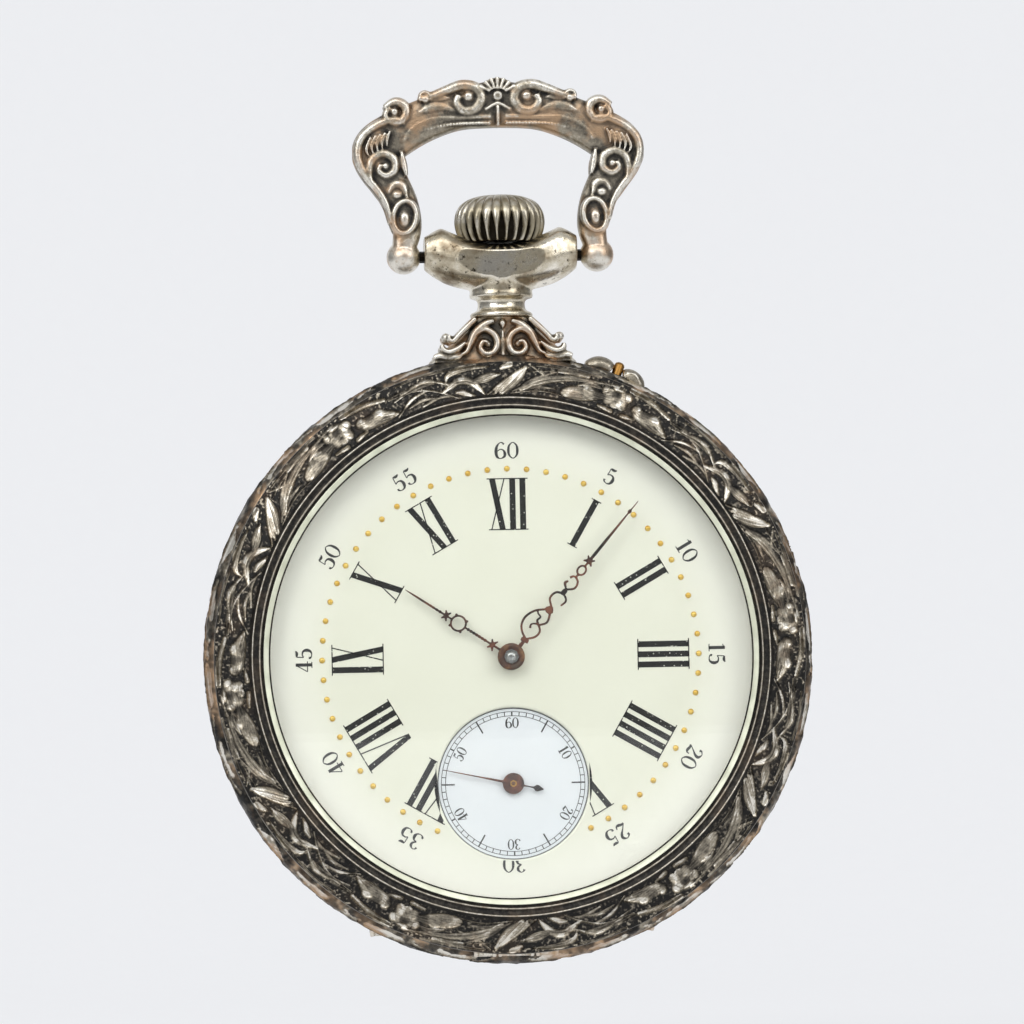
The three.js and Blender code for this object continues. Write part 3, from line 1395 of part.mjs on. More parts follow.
// Bow: the middle line of its right half as shares of its half width and height, with half thickness
const bowShares = [
  [0, 1, bowTopHalf], [0.333, 0.985, 1.95], [0.62, 0.925, 1.95], [0.876, 0.805, 2.15], [0.99, 0.705, 2.2],
  [0.98, 0.62, 2.05], [0.89, 0.486, 1.75], [0.79, 0.337, 1.45], [0.755, 0.188, 1.25], [0.788, 0, 1.1],
];
const bow = () => {
  const right = bowShares.map(([x, y, half]) => (
    new THREE.Vector3(x * bowHalfWidth, bowPivotY + y * bowHeight, half)
  ));
  const left = right.slice(1).reverse().map((point) => new THREE.Vector3(-point.x, point.y, point.z));
  const curve = new THREE.CatmullRomCurve3([...left, ...right]);
  const sections = [];
  for (let s = 0; s <= bowSteps; s += 1) {
    const here = curve.getPoint(s / bowSteps);
    const tangent = curve.getTangent(s / bowSteps);
    const outward = new THREE.Vector2(-tangent.y, tangent.x).normalize();
    const ring = [];
    for (let k = 0; k < bowSides; k += 1) {
      const across = here.z * Math.cos(turn * k / bowSides);
      const deep = bowThick / 2 * Math.sin(turn * k / bowSides);
      ring.push([here.x + outward.x * across, here.y + outward.y * across, deep]);
    }
    sections.push(ring);
  }
  const balls = [-1, 1].map((side) => {
    const ball = new THREE.SphereGeometry(ballRadius, tubeSides, tubeSides / 2 + 1);
    return solid(ball.translate(side * bowPivotX, bowPivotY, 0));
  });
  const bores = [-1, 1].map((side) => rod(
    [side * (bowPivotX - ballRadius - overrun), bowPivotY, 0],
    [side * (bowPivotX + bowPivotRadius + seat), bowPivotY, 0],
    bowPivotRadius + running,
  ));
  return cut(joined(loft(sections), ...balls), ...bores);
};
const bowPivot = (side) => rod(
  [side * (saddleHalf - bowPivotInset), bowPivotY, 0],
  [side * (bowPivotX + bowPivotRadius), bowPivotY, 0],
  bowPivotRadius,
);

// The guard's two lobes: along its half length and up its height, as shares
const guardShares = [
  [-1, 0], [-1, 0.45], [-0.82, 0.85], [-0.5, 1], [-0.3, 0.8], [-0.25, 0.5],
  [0.25, 0.5], [0.3, 0.75], [0.5, 0.9], [0.75, 0.75], [0.9, 0.4], [0.9, 0],
];
const guardBottom = rimRadius - guardShoulder;
const pushGuard = () => cut(
  clockwise(prism(shapeOf(guardShares.map(([x, y]) => [
    x * guardHalfLength, guardBottom + (guardTop - guardBottom) * (y / 2 + (y > 0 ? 1 / 2 : 0)),
  ])), -guardHalfDepth, guardHalfDepth), pushAngle),
  bandTool(),
  clockwise(rod([0, rimRadius - overrun, 0], [0, guardTop + overrun, 0], pushRadius + running), pushAngle),
);
const pushPin = () => clockwise(rod([0, pushInner, 0], [0, pushTop, 0], pushRadius), pushAngle);

// The watch, in the dial frame, then stood up
const watch = new THREE.Group();
const add = (name, body, look) => {
  const geometry = geometryOf(body);
  geometry.computeVertexNormals();
  const piece = new THREE.Mesh(geometry, new THREE.MeshStandardMaterial(look));
  piece.name = name;
  watch.add(piece);
};

add('case_band', caseBand(), darkSilver);
add('pendant_base', pendantFoot(), silver);
add('pendant', pendant(), silver);
add('bow_pivot_left', bowPivot(-1), steel);
add('bow_pivot_right', bowPivot(1), steel);
add('bow', bow(), silver);
add('crown', crown(), silver);
add('winding_stem', stem(), steel);
add('winding_pinion', windingPinion(), steel);
add('sliding_pinion', slidingPinion(), steel);
add('push_pin_guard', pushGuard(), silver);
add('push_pin', pushPin(), gilt);
add('bezel', bezel(), darkSilver);
add('crystal', crystal(), glass);
add('front_hinge_pin', frontHingePin(), steel);
add('rear_hinge_pin', rearHingePin(), steel);
add('back_cover', backCover(), darkSilver);
add('cuvette', cuvette(), silver);
add('dial', dial(), enamel);
add('seconds_dial', secondsDial(), whiteEnamel);
add('hour_hand', hourHand(), rustedSteel);
add('minute_hand', minuteHand(), rustedSteel);
add('seconds_hand', secondsHand(), rustedSteel);
add('mainplate', mainplate(), gilt);
add('barrel_bridge', barrelBridge(), gilt);
add('train_bridge', trainBridge(), gilt);
add('balance_cock', balanceCock(), gilt);
add('pallet_bridge', palletBridge(), gilt);
add('regulator', regulator(), steel);
add('balance_jewel', balanceJewel(), ruby);
add('barrel', barrel(), gilt);
add('barrel_arbor', barrelArbor(), steel);
add('ratchet_wheel', ratchetWheel(), steel);
add('crown_wheel', crownWheel(), steel);
add('click', click(), steel);
add('click_spring', clickSpring(), steel);
add('centre_wheel', centreWheel(), gilt);
add('third_wheel', thirdWheel(), gilt);
add('fourth_wheel', fourthWheel(), gilt);
add('escape_wheel', escapeWheel(), steel);
add('pallet_fork', palletFork(), steel);
add('balance_wheel', balanceWheel(), gilt);
add('balance_staff', balanceStaff(), steel);
add('hairspring', hairspring(), steel);
add('cannon_pinion', cannonPinion(), steel);
add('minute_wheel', minuteWheel(), gilt);
add('hour_wheel', hourWheel(), gilt);
const bridgeScrewUnder = bridgeBack - seat / 2;
barrelBridgeScrews.forEach((where, k) => {
  const slotAngle = barrelSlotAngles[k];
  add(`barrel_bridge_screw_${k + 1}`, screw(where, bridgeScrewUnder, bridgeScrewLength, slotAngle), steel);
});
trainBridgeScrews.forEach((where, k) => {
  const slotAngle = trainSlotAngles[k];
  add(`train_bridge_screw_${k + 1}`, screw(where, bridgeScrewUnder, bridgeScrewLength, slotAngle), steel);
});
add('balance_cock_screw', screw(cockScrewAt, cockBack - seat / 2, cockScrewLength, cockSlotAngle), steel);
caseScrewPlaces.forEach((where, k) => {
  add(`case_screw_${k + 1}`, screw(where, caseScrewUnder, caseScrewLength, caseSlotAngles[k]), steel);
});

watch.rotation.x = Math.PI / 2;
watch.position.z = -bowInsideTop;
const pocketWatch = new THREE.Group();
pocketWatch.add(watch);
pocketWatch.updateMatrixWorld(true);

export default pocketWatch;
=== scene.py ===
import json
import math
import bpy
import bmesh
import numpy as np
from mathutils import Matrix, Vector


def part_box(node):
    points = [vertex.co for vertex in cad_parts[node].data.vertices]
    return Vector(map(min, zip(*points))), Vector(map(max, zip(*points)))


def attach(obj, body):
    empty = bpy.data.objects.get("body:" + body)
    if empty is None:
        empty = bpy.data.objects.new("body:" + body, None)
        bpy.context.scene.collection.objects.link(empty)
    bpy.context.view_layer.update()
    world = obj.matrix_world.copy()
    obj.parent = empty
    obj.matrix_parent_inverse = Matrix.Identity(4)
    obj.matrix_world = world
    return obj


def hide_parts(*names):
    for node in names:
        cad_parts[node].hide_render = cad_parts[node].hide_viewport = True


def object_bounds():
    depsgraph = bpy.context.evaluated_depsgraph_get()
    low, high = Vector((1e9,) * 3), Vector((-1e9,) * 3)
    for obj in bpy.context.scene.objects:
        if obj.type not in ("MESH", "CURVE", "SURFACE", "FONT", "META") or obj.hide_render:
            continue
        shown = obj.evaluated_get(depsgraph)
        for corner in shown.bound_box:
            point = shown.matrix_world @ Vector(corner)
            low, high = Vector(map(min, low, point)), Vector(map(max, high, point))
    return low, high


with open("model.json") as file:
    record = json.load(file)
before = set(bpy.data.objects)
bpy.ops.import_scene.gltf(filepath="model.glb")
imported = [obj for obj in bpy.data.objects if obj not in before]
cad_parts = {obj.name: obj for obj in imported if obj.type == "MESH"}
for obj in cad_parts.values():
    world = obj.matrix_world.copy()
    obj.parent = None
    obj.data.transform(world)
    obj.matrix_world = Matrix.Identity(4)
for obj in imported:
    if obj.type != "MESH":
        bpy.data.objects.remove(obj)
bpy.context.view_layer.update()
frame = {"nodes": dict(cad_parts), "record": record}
print("frame loaded")

mm = 0.001
joints = {joint["name"]: joint for joint in frame["record"]["behaviour"]["joints"]}
dialHeight = joints["minute_turn"]["pos_m"][2] / mm  # the dial's centre, below the bow's inside top
secondsAt = joints["seconds_turn"]["pos_m"][2] / mm - dialHeight
bowPivot = joints["bow_swing"]["pos_m"][2] / mm - dialHeight


# Pieces are drawn with the watch lying down, in mm: x to 3 o'clock, y to 12 o'clock, z out of the dial
def stand(points):
    points = np.asarray(points, dtype=float)
    return np.column_stack((points[:, 0], -points[:, 2], points[:, 1] + dialHeight)) * mm


def lieDown(points):
    points = np.asarray(points, dtype=float) / mm
    return np.column_stack((points[:, 0], points[:, 2] - dialHeight, -points[:, 1]))


def boxOf(node):
    low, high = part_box(node)
    corners = lieDown([low, high])
    return corners.min(axis=0), corners.max(axis=0)


# Colours and materials
def linear(hexColour):
    channels = [int(hexColour[k:k + 2], 16) / 255 for k in (1, 3, 5)]
    return [c / 12.92 if c <= 0.04045 else ((c + 0.055) / 1.055) ** 2.4 for c in channels] + [1.0]


def addNode(tree, kind, settings=None, links=None):
    node = tree.nodes.new(kind)
    for name, value in (settings or {}).items():
        if isinstance(name, int) or name in node.inputs:
            node.inputs[name].default_value = value
        else:
            setattr(node, name, value)
    for name, source in (links or {}).items():
        tree.links.new(source, node.inputs[name])
    return node


def newMaterial(name):
    material = bpy.data.materials.new(name)
    material.use_nodes = True
    tree = material.node_tree
    surface = tree.nodes["Principled BSDF"]
    return material, tree, surface


def setValues(surface, values):
    for name, value in values.items():
        surface.inputs[name].default_value = value


def setRamp(node, stops):
    ramp = node.color_ramp
    while len(ramp.elements) > 1:
        ramp.elements.remove(ramp.elements[-1])
    ramp.elements[0].position, ramp.elements[0].color = stops[0]
    for at, colour in stops[1:]:
        ramp.elements.new(at).color = colour
    return node


def grey(value):
    return [value, value, value, 1.0]


def place(tree):
    return addNode(tree, "ShaderNodeTexCoord").outputs["Object"]


def bumped(tree, surface, height, distance):
    bump = addNode(tree, "ShaderNodeBump", {"Strength": 1.0, "Distance": distance}, {"Height": height})
    tree.links.new(bump.outputs["Normal"], surface.inputs["Normal"])


def multiplied(tree, first, second):
    return addNode(tree, "ShaderNodeMix", {"data_type": "RGBA", "blend_type": "MULTIPLY", "Factor": 1.0},
                   {"A": first, "B": second}).outputs["Result"]


def mixShaders(tree, factor, first, second):
    mixed = addNode(tree, "ShaderNodeMixShader", None, {"Fac": factor})
    tree.links.new(first.outputs[0], mixed.inputs[1])
    tree.links.new(second.outputs[0], mixed.inputs[2])
    return mixed


# Oxidised silver: cast and chased silver, blackened with sulphur and rubbed back by handling.
# The eye gets bright warm white on what stands up, brown-black between, and tan stains where it was worn
silverLook = {
    "bright": "#E9E4D9", "worn": "#ADA493", "dull": "#5C574F", "black": "#222120", "stain": "#C0A080",
    "stainSize": 3.0, "grainSize": 0.16, "pitSize": 0.5, "pitShare": 0.5, "grainShare": 0.16,
    "matt": (0.5, 0.32), "metal": (0.75, 1.0), "bump": 0.035,
}


def oxidisedSilver(name, stain):
    material, tree, surface = newMaterial(name)
    look = silverLook
    where = place(tree)
    relief = addNode(tree, "ShaderNodeAttribute", {"attribute_name": "relief"}).outputs["Fac"]
    patches = addNode(tree, "ShaderNodeTexNoise", {"Scale": 1 / (look["stainSize"] * mm), "Detail": 4.0,
                                                   "Roughness": 0.6}, {"Vector": where}).outputs["Fac"]
    grain = addNode(tree, "ShaderNodeTexNoise", {"Scale": 1 / (look["grainSize"] * mm), "Detail": 3.0},
                    {"Vector": where}).outputs["Fac"]
    pits = addNode(tree, "ShaderNodeTexNoise", {"Scale": 1 / (look["pitSize"] * mm), "Detail": 5.0,
                                                "Roughness": 0.7}, {"Vector": where}).outputs["Fac"]
    # grain and pits break up the edge between black and bright
    rough = addNode(tree, "ShaderNodeMath", {"operation": "MULTIPLY_ADD", 1: look["pitShare"]},
                    {0: pits, 2: relief})
    level = addNode(tree, "ShaderNodeMath", {"operation": "MULTIPLY_ADD", 1: look["grainShare"]},
                    {0: grain, 2: rough.outputs[0]}).outputs[0]
    tone = setRamp(addNode(tree, "ShaderNodeValToRGB", None, {"Fac": level}), [
        (0.4, linear(look["black"])), (0.66, linear(look["dull"])), (0.9, linear(look["worn"])),
        (1.0, linear(look["bright"])),
    ])
    stained = setRamp(addNode(tree, "ShaderNodeValToRGB", None, {"Fac": patches}), [
        (0.54 - 0.12 * stain, grey(0.0)), (0.66 - 0.1 * stain, grey(min(1.0, 1.6 * stain))),
    ])
    # stains stay out of the brightest tops and the blackest hollows
    between = setRamp(addNode(tree, "ShaderNodeValToRGB", None, {"Fac": relief}), [
        (0.2, grey(0.25)), (0.45, grey(1.0)), (0.75, grey(0.8)), (0.95, grey(0.2)),
    ])
    held = addNode(tree, "ShaderNodeMath", {"operation": "MULTIPLY"},
                   {0: stained.outputs["Color"], 1: between.outputs["Color"]})
    mixed = addNode(tree, "ShaderNodeMix", {"data_type": "RGBA", "B": linear(look["stain"])},
                    {"Factor": held.outputs[0], "A": tone.outputs["Color"]})
    tree.links.new(mixed.outputs["Result"], surface.inputs["Base Color"])
    for socket, low, high, (first, last) in (("Roughness", 0.4, 1.1, look["matt"]),
                                             ("Metallic", 0.35, 0.7, look["metal"])):
        span = addNode(tree, "ShaderNodeMapRange", {"From Min": low, "From Max": high,
                                                    "To Min": first, "To Max": last}, {"Value": level})
        tree.links.new(span.outputs["Result"], surface.inputs[socket])
    both = addNode(tree, "ShaderNodeMath", {"operation": "MULTIPLY_ADD", 1: 0.5}, {0: grain, 2: pits})
    bumped(tree, surface, both.outputs[0], look["bump"] * mm)
    return material


# Polished silver: burnished plain surfaces, dulled by a thin tarnish and fine scratches.
# The eye gets soft wide reflections, a yellow-grey veil and darker pits; low relief gets dirt and painted
# shade
polishLook = {
    "cloudSize": 3.2, "fineSize": 0.25, "pitSize": 0.5, "pit": "#4A4338", "dirtAndShade": "#2B2824", "bump": 0.012,
}


def polishedSilver(name, veil, metalTone, tarnish, rough, pitted):
    material, tree, surface = newMaterial(name)
    where = place(tree)
    relief = addNode(tree, "ShaderNodeAttribute", {"attribute_name": "relief"}).outputs["Fac"]
    look = polishLook
    cloud = addNode(tree, "ShaderNodeTexNoise", {"Scale": 1 / (look["cloudSize"] * mm), "Detail": 5.0,
                                                 "Roughness": 0.65}, {"Vector": where}).outputs["Fac"]
    fine = addNode(tree, "ShaderNodeTexNoise", {"Scale": 1 / (look["fineSize"] * mm), "Detail": 4.0},
                   {"Vector": where}).outputs["Fac"]
    tone = setRamp(addNode(tree, "ShaderNodeValToRGB", None, {"Fac": cloud}), [
        (0.38, linear(metalTone)), (0.53, linear(veil)), (0.66, linear(tarnish)),
    ])
    pits = addNode(tree, "ShaderNodeTexNoise", {"Scale": 1 / (look["pitSize"] * mm), "Detail": 6.0,
                                                "Roughness": 0.75}, {"Vector": where}).outputs["Fac"]
    specks = setRamp(addNode(tree, "ShaderNodeValToRGB", None, {"Fac": pits}), [
        (pitted, linear(look["pit"])), (pitted + 0.07, grey(1.0)),
    ])
    # dark where the relief is low: dirt, and painted shade in hollows
    dirtAndShade = setRamp(addNode(tree, "ShaderNodeValToRGB", None, {"Fac": relief}), [
        (0.15, linear(look["dirtAndShade"])), (0.5, grey(1.0)),
    ])
    colour = tone.outputs["Color"]
    for layer in (dirtAndShade, specks):
        colour = multiplied(tree, colour, layer.outputs["Color"])
    tree.links.new(colour, surface.inputs["Base Color"])
    matt = addNode(tree, "ShaderNodeMapRange", {"From Min": 0.35, "From Max": 0.7, "To Min": rough,
                                                "To Max": rough + 0.22}, {"Value": cloud})
    tree.links.new(matt.outputs["Result"], surface.inputs["Roughness"])
    surface.inputs["Metallic"].default_value = 1.0
    bumped(tree, surface, fine, look["bump"] * mm)
    return material


# A finish whose colour drifts between two tones over a cloud: size in mm, detail, then (place, colour) stops.
# The values go to the shader, the grain is a bump of size in mm, detail and depth in mm
def driftingFinish(name, cloud, stops, values, grain=None, stretch=None):
    material, tree, surface = newMaterial(name)
    where = place(tree)
    if stretch:
        where = addNode(tree, "ShaderNodeMapping", {"Scale": stretch}, {"Vector": where}).outputs["Vector"]
    tint = addNode(tree, "ShaderNodeTexNoise", {"Scale": 1 / (cloud[0] * mm), "Detail": cloud[1]},
                   {"Vector": where}).outputs["Fac"]
    tone = setRamp(addNode(tree, "ShaderNodeValToRGB", None, {"Fac": tint}),
                   [(at, linear(colour)) for at, colour in stops])
    tree.links.new(tone.outputs["Color"], surface.inputs["Base Color"])
    setValues(surface, values)
    if grain:
        size, detail, depth = grain
        fine = addNode(tree, "ShaderNodeTexNoise", {"Scale": 1 / (size * mm), "Detail": detail},
                       {"Vector": where})
        bumped(tree, surface, fine.outputs["Fac"], depth * mm)
    return material


# Painted light: the dial turns whiter between two distances from its middle, against the bezel lip's shade;
# sizes in mm
enamelLook = {"rimPaintedLight": (15.0, 20.4), "cloudSize": 9.0, "rippleSize": 2.5, "rippleDepth": 0.01}


# Fired enamel: glass fused on a metal dial, ground flat and fired again.
# The eye gets a milky colour, a soft gloss and a faint ripple, with painted light whitening the rim
def firedEnamel(name, colour, shade, rim=None):
    material, tree, surface = newMaterial(name)
    where = place(tree)
    look = enamelLook
    cloud = addNode(tree, "ShaderNodeTexNoise", {"Scale": 1 / (look["cloudSize"] * mm), "Detail": 2.0},
                    {"Vector": where})
    tone = setRamp(addNode(tree, "ShaderNodeValToRGB", None, {"Fac": cloud.outputs["Fac"]}), [
        (0.35, linear(colour)), (0.7, linear(shade)),
    ])
    base = tone.outputs["Color"]
    # painted light: whiter towards the rim to lift the shade of the bezel's lip
    if rim:
        parts = addNode(tree, "ShaderNodeSeparateXYZ", None, {"Vector": where})
        up = addNode(tree, "ShaderNodeMath", {"operation": "SUBTRACT", 1: dialHeight * mm},
                     {0: parts.outputs["Z"]})
        flat = addNode(tree, "ShaderNodeCombineXYZ", None, {"X": parts.outputs["X"], "Y": up.outputs[0]})
        away = addNode(tree, "ShaderNodeVectorMath", {"operation": "LENGTH"}, {0: flat.outputs[0]})
        start, end = look["rimPaintedLight"]
        fade = addNode(tree, "ShaderNodeMapRange", {"From Min": start * mm, "From Max": end * mm},
                       {"Value": away.outputs["Value"]})
        mixed = addNode(tree, "ShaderNodeMix", {"data_type": "RGBA", "B": linear(rim)},
                        {"Factor": fade.outputs["Result"], "A": base})
        base = mixed.outputs["Result"]
    tree.links.new(base, surface.inputs["Base Color"])
    setValues(surface, {"Roughness": 0.24, "IOR": 1.5, "Coat Weight": 0.3, "Coat Roughness": 0.08})
    ripple = addNode(tree, "ShaderNodeTexNoise", {"Scale": 1 / (look["rippleSize"] * mm), "Detail": 1.0},
                     {"Vector": where})
    bumped(tree, surface, ripple.outputs["Fac"], look["rippleDepth"] * mm)
    return material


# Black enamel paint: figures painted by transfer and fired, with pinholes that let the dial through
paintLook = {"pinholeSize": 0.34, "dial": "#D5D6CA"}


def paintedFigures(name, colour, pinholes=True):
    material, tree, surface = newMaterial(name)
    where = place(tree)
    specks = addNode(tree, "ShaderNodeTexVoronoi", {"Scale": 1 / (paintLook["pinholeSize"] * mm)},
                     {"Vector": where})
    dial, paint = linear(paintLook["dial"]), linear(colour)
    stops = [(0.0, dial), (0.1, dial), (0.2, paint), (1.0, paint)]
    if not pinholes:
        stops = stops[2:]
    tone = setRamp(addNode(tree, "ShaderNodeValToRGB", None, {"Fac": specks.outputs["Distance"]}), stops)
    tree.links.new(tone.outputs["Color"], surface.inputs["Base Color"])
    surface.inputs["Roughness"].default_value = 0.3
    return material


# Rusted steel: pierced hands of blued steel that have rusted. The eye gets matt red-brown over dark grey
rustLook = {"spotSize": 1.9, "between": "#553A32", "bump": 0.03}


def rustedSteel(name, rust, bare):
    material, tree, surface = newMaterial(name)
    look = rustLook
    spots = addNode(tree, "ShaderNodeTexNoise", {"Scale": 1 / (look["spotSize"] * mm), "Detail": 6.0,
                                                 "Roughness": 0.7}, {"Vector": place(tree)}).outputs["Fac"]
    tone = setRamp(addNode(tree, "ShaderNodeValToRGB", None, {"Fac": spots}), [
        (0.42, linear(bare)), (0.5, linear(look["between"])), (0.62, linear(rust)),
    ])
    tree.links.new(tone.outputs["Color"], surface.inputs["Base Color"])
    metal = addNode(tree, "ShaderNodeMapRange", {"From Min": 0.35, "From Max": 0.6, "To Min": 0.8,
                                                 "To Max": 0.1}, {"Value": spots})
    tree.links.new(metal.outputs["Result"], surface.inputs["Metallic"])
    surface.inputs["Roughness"].default_value = 0.5
    bumped(tree, surface, spots, look["bump"] * mm)
    return material


# Watch glass: polished crown glass, clear, with a faint warm edge
def watchGlass(name):
    material, tree, surface = newMaterial(name)
    setValues(surface, {"Base Color": linear("#FBFCFA"), "Roughness": 0.02, "IOR": 1.46,
                        "Transmission Weight": 1.0})
    path = addNode(tree, "ShaderNodeLightPath")
    clear = addNode(tree, "ShaderNodeBsdfTransparent", {"Color": linear("#F8F8F6")})
    mixed = mixShaders(tree, path.outputs["Is Shadow Ray"], surface, clear)
    tree.links.new(mixed.outputs[0], tree.nodes["Material Output"].inputs["Surface"])
    return material


# Gilded brass: movement plates and wheels, frosted and fire gilt. The eye gets a soft matt yellow
def gildedBrass(name, light, dark):
    return driftingFinish(name, (4.0, 4.0), [(0.35, light), (0.7, dark)],
                          {"Metallic": 1.0, "Roughness": 0.36}, (0.12, 2.0, 0.01))


bezelSilver = oxidisedSilver("oxidisedSilverCast", 0.12)
bowSilver = oxidisedSilver("oxidisedSilverBow", 0.55)
bandSilver = oxidisedSilver("oxidisedSilverBand", 0.6)
plainSilver = polishedSilver("polishedSilver", "#B9B1A0", "#E9E5DB", "#8F8674", 0.2, 0.3)
saddleSilver = polishedSilver("polishedSilverSaddle", "#C9BFA9", "#F0EADD", "#8B7B64", 0.17, 0.35)
# darker silver for the cuvette; on the bow's pivot pins it is painted shade in their gap
dullSilverAndGapShade = polishedSilver("polishedSilverDullAndGapShade", "#8F897E", "#C9C4BA", "#8F8674", 0.28, 0.3)
crownSilver = polishedSilver("polishedSilverCrown", "#A39A84", "#D9D4C8", "#8F8674", 0.24, 0.3)
# Bright seat: the turned and burnished inside of the bezel, with the dial's cream reflection painted into its
# colour
seatPaintedReflection = driftingFinish("seatPaintedDialReflection", (1.6, 4.0), [(0.35, "#E6E8D2"), (0.68, "#C9CBB4")],
                            {"Metallic": 0.3, "Roughness": 0.3})
# the last colour is painted light that whitens the dial towards its rim
ivoryEnamel = firedEnamel("ivoryEnamel", "#EFF0E2", "#ECEDDE", "#FCFCF4")
whiteEnamel = firedEnamel("whiteEnamel", "#EDF1F6", "#E8EDF4")
blackFigures = paintedFigures("blackFigures", "#1B1B1C")
greyFigures = paintedFigures("greyFigures", "#3A3B3C", pinholes=False)
# Gilding: thin raised drops of gold, burnished. The eye gets a deep yellow with a small highlight
goldDrops = driftingFinish("goldDrops", (0.4, 3.0), [(0.35, "#F3D377"), (0.7, "#D9A945")],
                           {"Metallic": 0.7, "Roughness": 0.3})
rustedHands = rustedSteel("rustedSteelHands", "#7A4A36", "#332F2E")
hubSteel = rustedSteel("rustedSteelHub", "#8A6543", "#5A5048")
clearGlass = watchGlass("watchGlass")
gilt = gildedBrass("gildedBrass", "#DDB668", "#B98C42")
agedBrass = gildedBrass("agedBrass", "#A67C42", "#6E4F2B")
# Polished steel: hardened and polished screws, pins and wheels. The eye gets cool grey with fine scratches
steel = driftingFinish("polishedSteel", (0.1, 3.0), [(0.3, "#9FA0A0"), (0.7, "#C7C8C8")],
                       {"Metallic": 1.0, "Roughness": 0.24}, (0.1, 3.0, 0.004), (1.0, 1.0, 0.15))
# Ruby: a polished pierced jewel. The eye gets a deep clear red
ruby = driftingFinish("polishedRuby", (0.5, 2.0), [(0.3, "#9C1530"), (0.7, "#C9284A")],
                      {"Roughness": 0.08, "IOR": 1.77})
print("materials made")


# Meshes. A piece's relief says how bright each point is, from 0 in a black hollow to 1 on a bare top: rubbed
# wear and oxide, partly painted shade in hollows
def makePiece(name, points, faces, material, body, replaced=(), relief=None, smooth=True):
    mesh = bpy.data.meshes.new(name)
    mesh.from_pydata(stand(points).tolist(), [], faces if isinstance(faces, list) else faces.tolist())
    solid = bmesh.new()
    solid.from_mesh(mesh)
    bmesh.ops.recalc_face_normals(solid, faces=solid.faces)
    solid.to_mesh(mesh)
    solid.free()
    if relief is None:
        relief = np.ones(len(mesh.vertices))
    heights = mesh.attributes.new("relief", "FLOAT", "POINT")
    heights.data.foreach_set("value", np.asarray(relief, dtype=np.float32))
    mesh.polygons.foreach_set("use_smooth", [smooth] * len(mesh.polygons))
    mesh.materials.append(material)
    mesh.update()
    piece = bpy.data.objects.new(name, mesh)
    bpy.context.scene.collection.objects.link(piece)
    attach(piece, body)
    if replaced:
        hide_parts(*replaced)
    return piece


# Sharp edges stay sharp while rounded ones stay smooth
def sharpen(piece, degrees=35):
    piece.data.set_sharp_from_angle(angle=math.radians(degrees))
    return piece


# A closed ring of quads from a grid of points: rows go round, columns along the closed outline
def gridFaces(rows, columns, closedColumns=True):
    faces = []
    for r in range(rows):
        nextRow = (r + 1) % rows
        for c in range(columns if closedColumns else columns - 1):
            nextColumn = (c + 1) % columns
            faces.append((r * columns + c, nextRow * columns + c, nextRow * columns + nextColumn,
                          r * columns + nextColumn))
    return faces


# A point at a distance and a clockwise angle from 12 o'clock
def polar(radius, degrees, middle=0.0):
    angle = math.radians(degrees)
    return radius * math.sin(angle), middle + radius * math.cos(angle)


# A ring of points at one height round the dial's middle, or round another point below or above it
def circle(radius, height, angles, middle=0.0):
    return np.column_stack((radius * np.sin(angles), middle + radius * np.cos(angles),
                            np.full(len(angles), height)))


# Faces of rings of points laid one after another, closed by a middle point at each end
def loftFaces(count, sides):
    faces = []
    for r in range(count - 1):
        for c in range(sides):
            d = (c + 1) % sides
            faces.append((r * sides + c, r * sides + d, (r + 1) * sides + d, (r + 1) * sides + c))
    first, last = count * sides, count * sides + 1
    for c in range(sides):
        d = (c + 1) % sides
        faces.append((first, d, c))
        faces.append((last, (count - 1) * sides + c, (count - 1) * sides + d))
    return faces


# A cosine or sine drawn towards a square: the power is 1 for a circle and less for squarer corners
def squared(wave, power):
    return np.sign(wave) * np.abs(wave) ** power


# Turns an outline of (radius, height) round the dial's axis, moved out by a relief along its normals
def turnedRing(outline, rows, rise=None, centre=(0, 0)):
    outline = np.asarray(outline, dtype=float)
    columns = len(outline)
    ahead = np.roll(outline, -1, axis=0) - np.roll(outline, 1, axis=0)
    normals = np.column_stack((ahead[:, 1], -ahead[:, 0]))
    normals /= np.linalg.norm(normals, axis=1)[:, None] + 1e-9
    angles = np.linspace(0, 2 * math.pi, rows, endpoint=False)
    if rise is None:
        rise = np.zeros((rows, columns))
    radius = outline[None, :, 0] + rise * normals[None, :, 0]
    height = outline[None, :, 1] + rise * normals[None, :, 1]
    x = centre[0] + radius * np.sin(angles)[:, None]
    y = centre[1] + radius * np.cos(angles)[:, None]
    return np.stack((x, y, height), axis=2).reshape(-1, 3), gridFaces(rows, columns)


# A disc or dome: rings of points round a middle point, with a flat or hollow underside
def turnedSolid(outline, rows, centre=(0, 0)):
    outline = np.asarray(outline, dtype=float)
    angles = np.linspace(0, 2 * math.pi, rows, endpoint=False)
    inner = outline[1:-1]
    points = [(centre[0], centre[1], outline[0][1]), (centre[0], centre[1], outline[-1][1])]
    x = centre[0] + inner[None, :, 0] * np.sin(angles)[:, None]
    y = centre[1] + inner[None, :, 0] * np.cos(angles)[:, None]
    z = np.broadcast_to(inner[None, :, 1], x.shape)
    points = np.vstack((points, np.stack((x, y, z), axis=2).reshape(-1, 3)))
    columns = len(inner)
    faces = [tuple(2 + k for k in face) for face in gridFaces(rows, columns, False)]
    for r in range(rows):
        here, there = 2 + r * columns, 2 + ((r + 1) % rows) * columns
        faces.append((0, there, here))
        faces.append((1, here + columns - 1, there + columns - 1))
    return points, faces


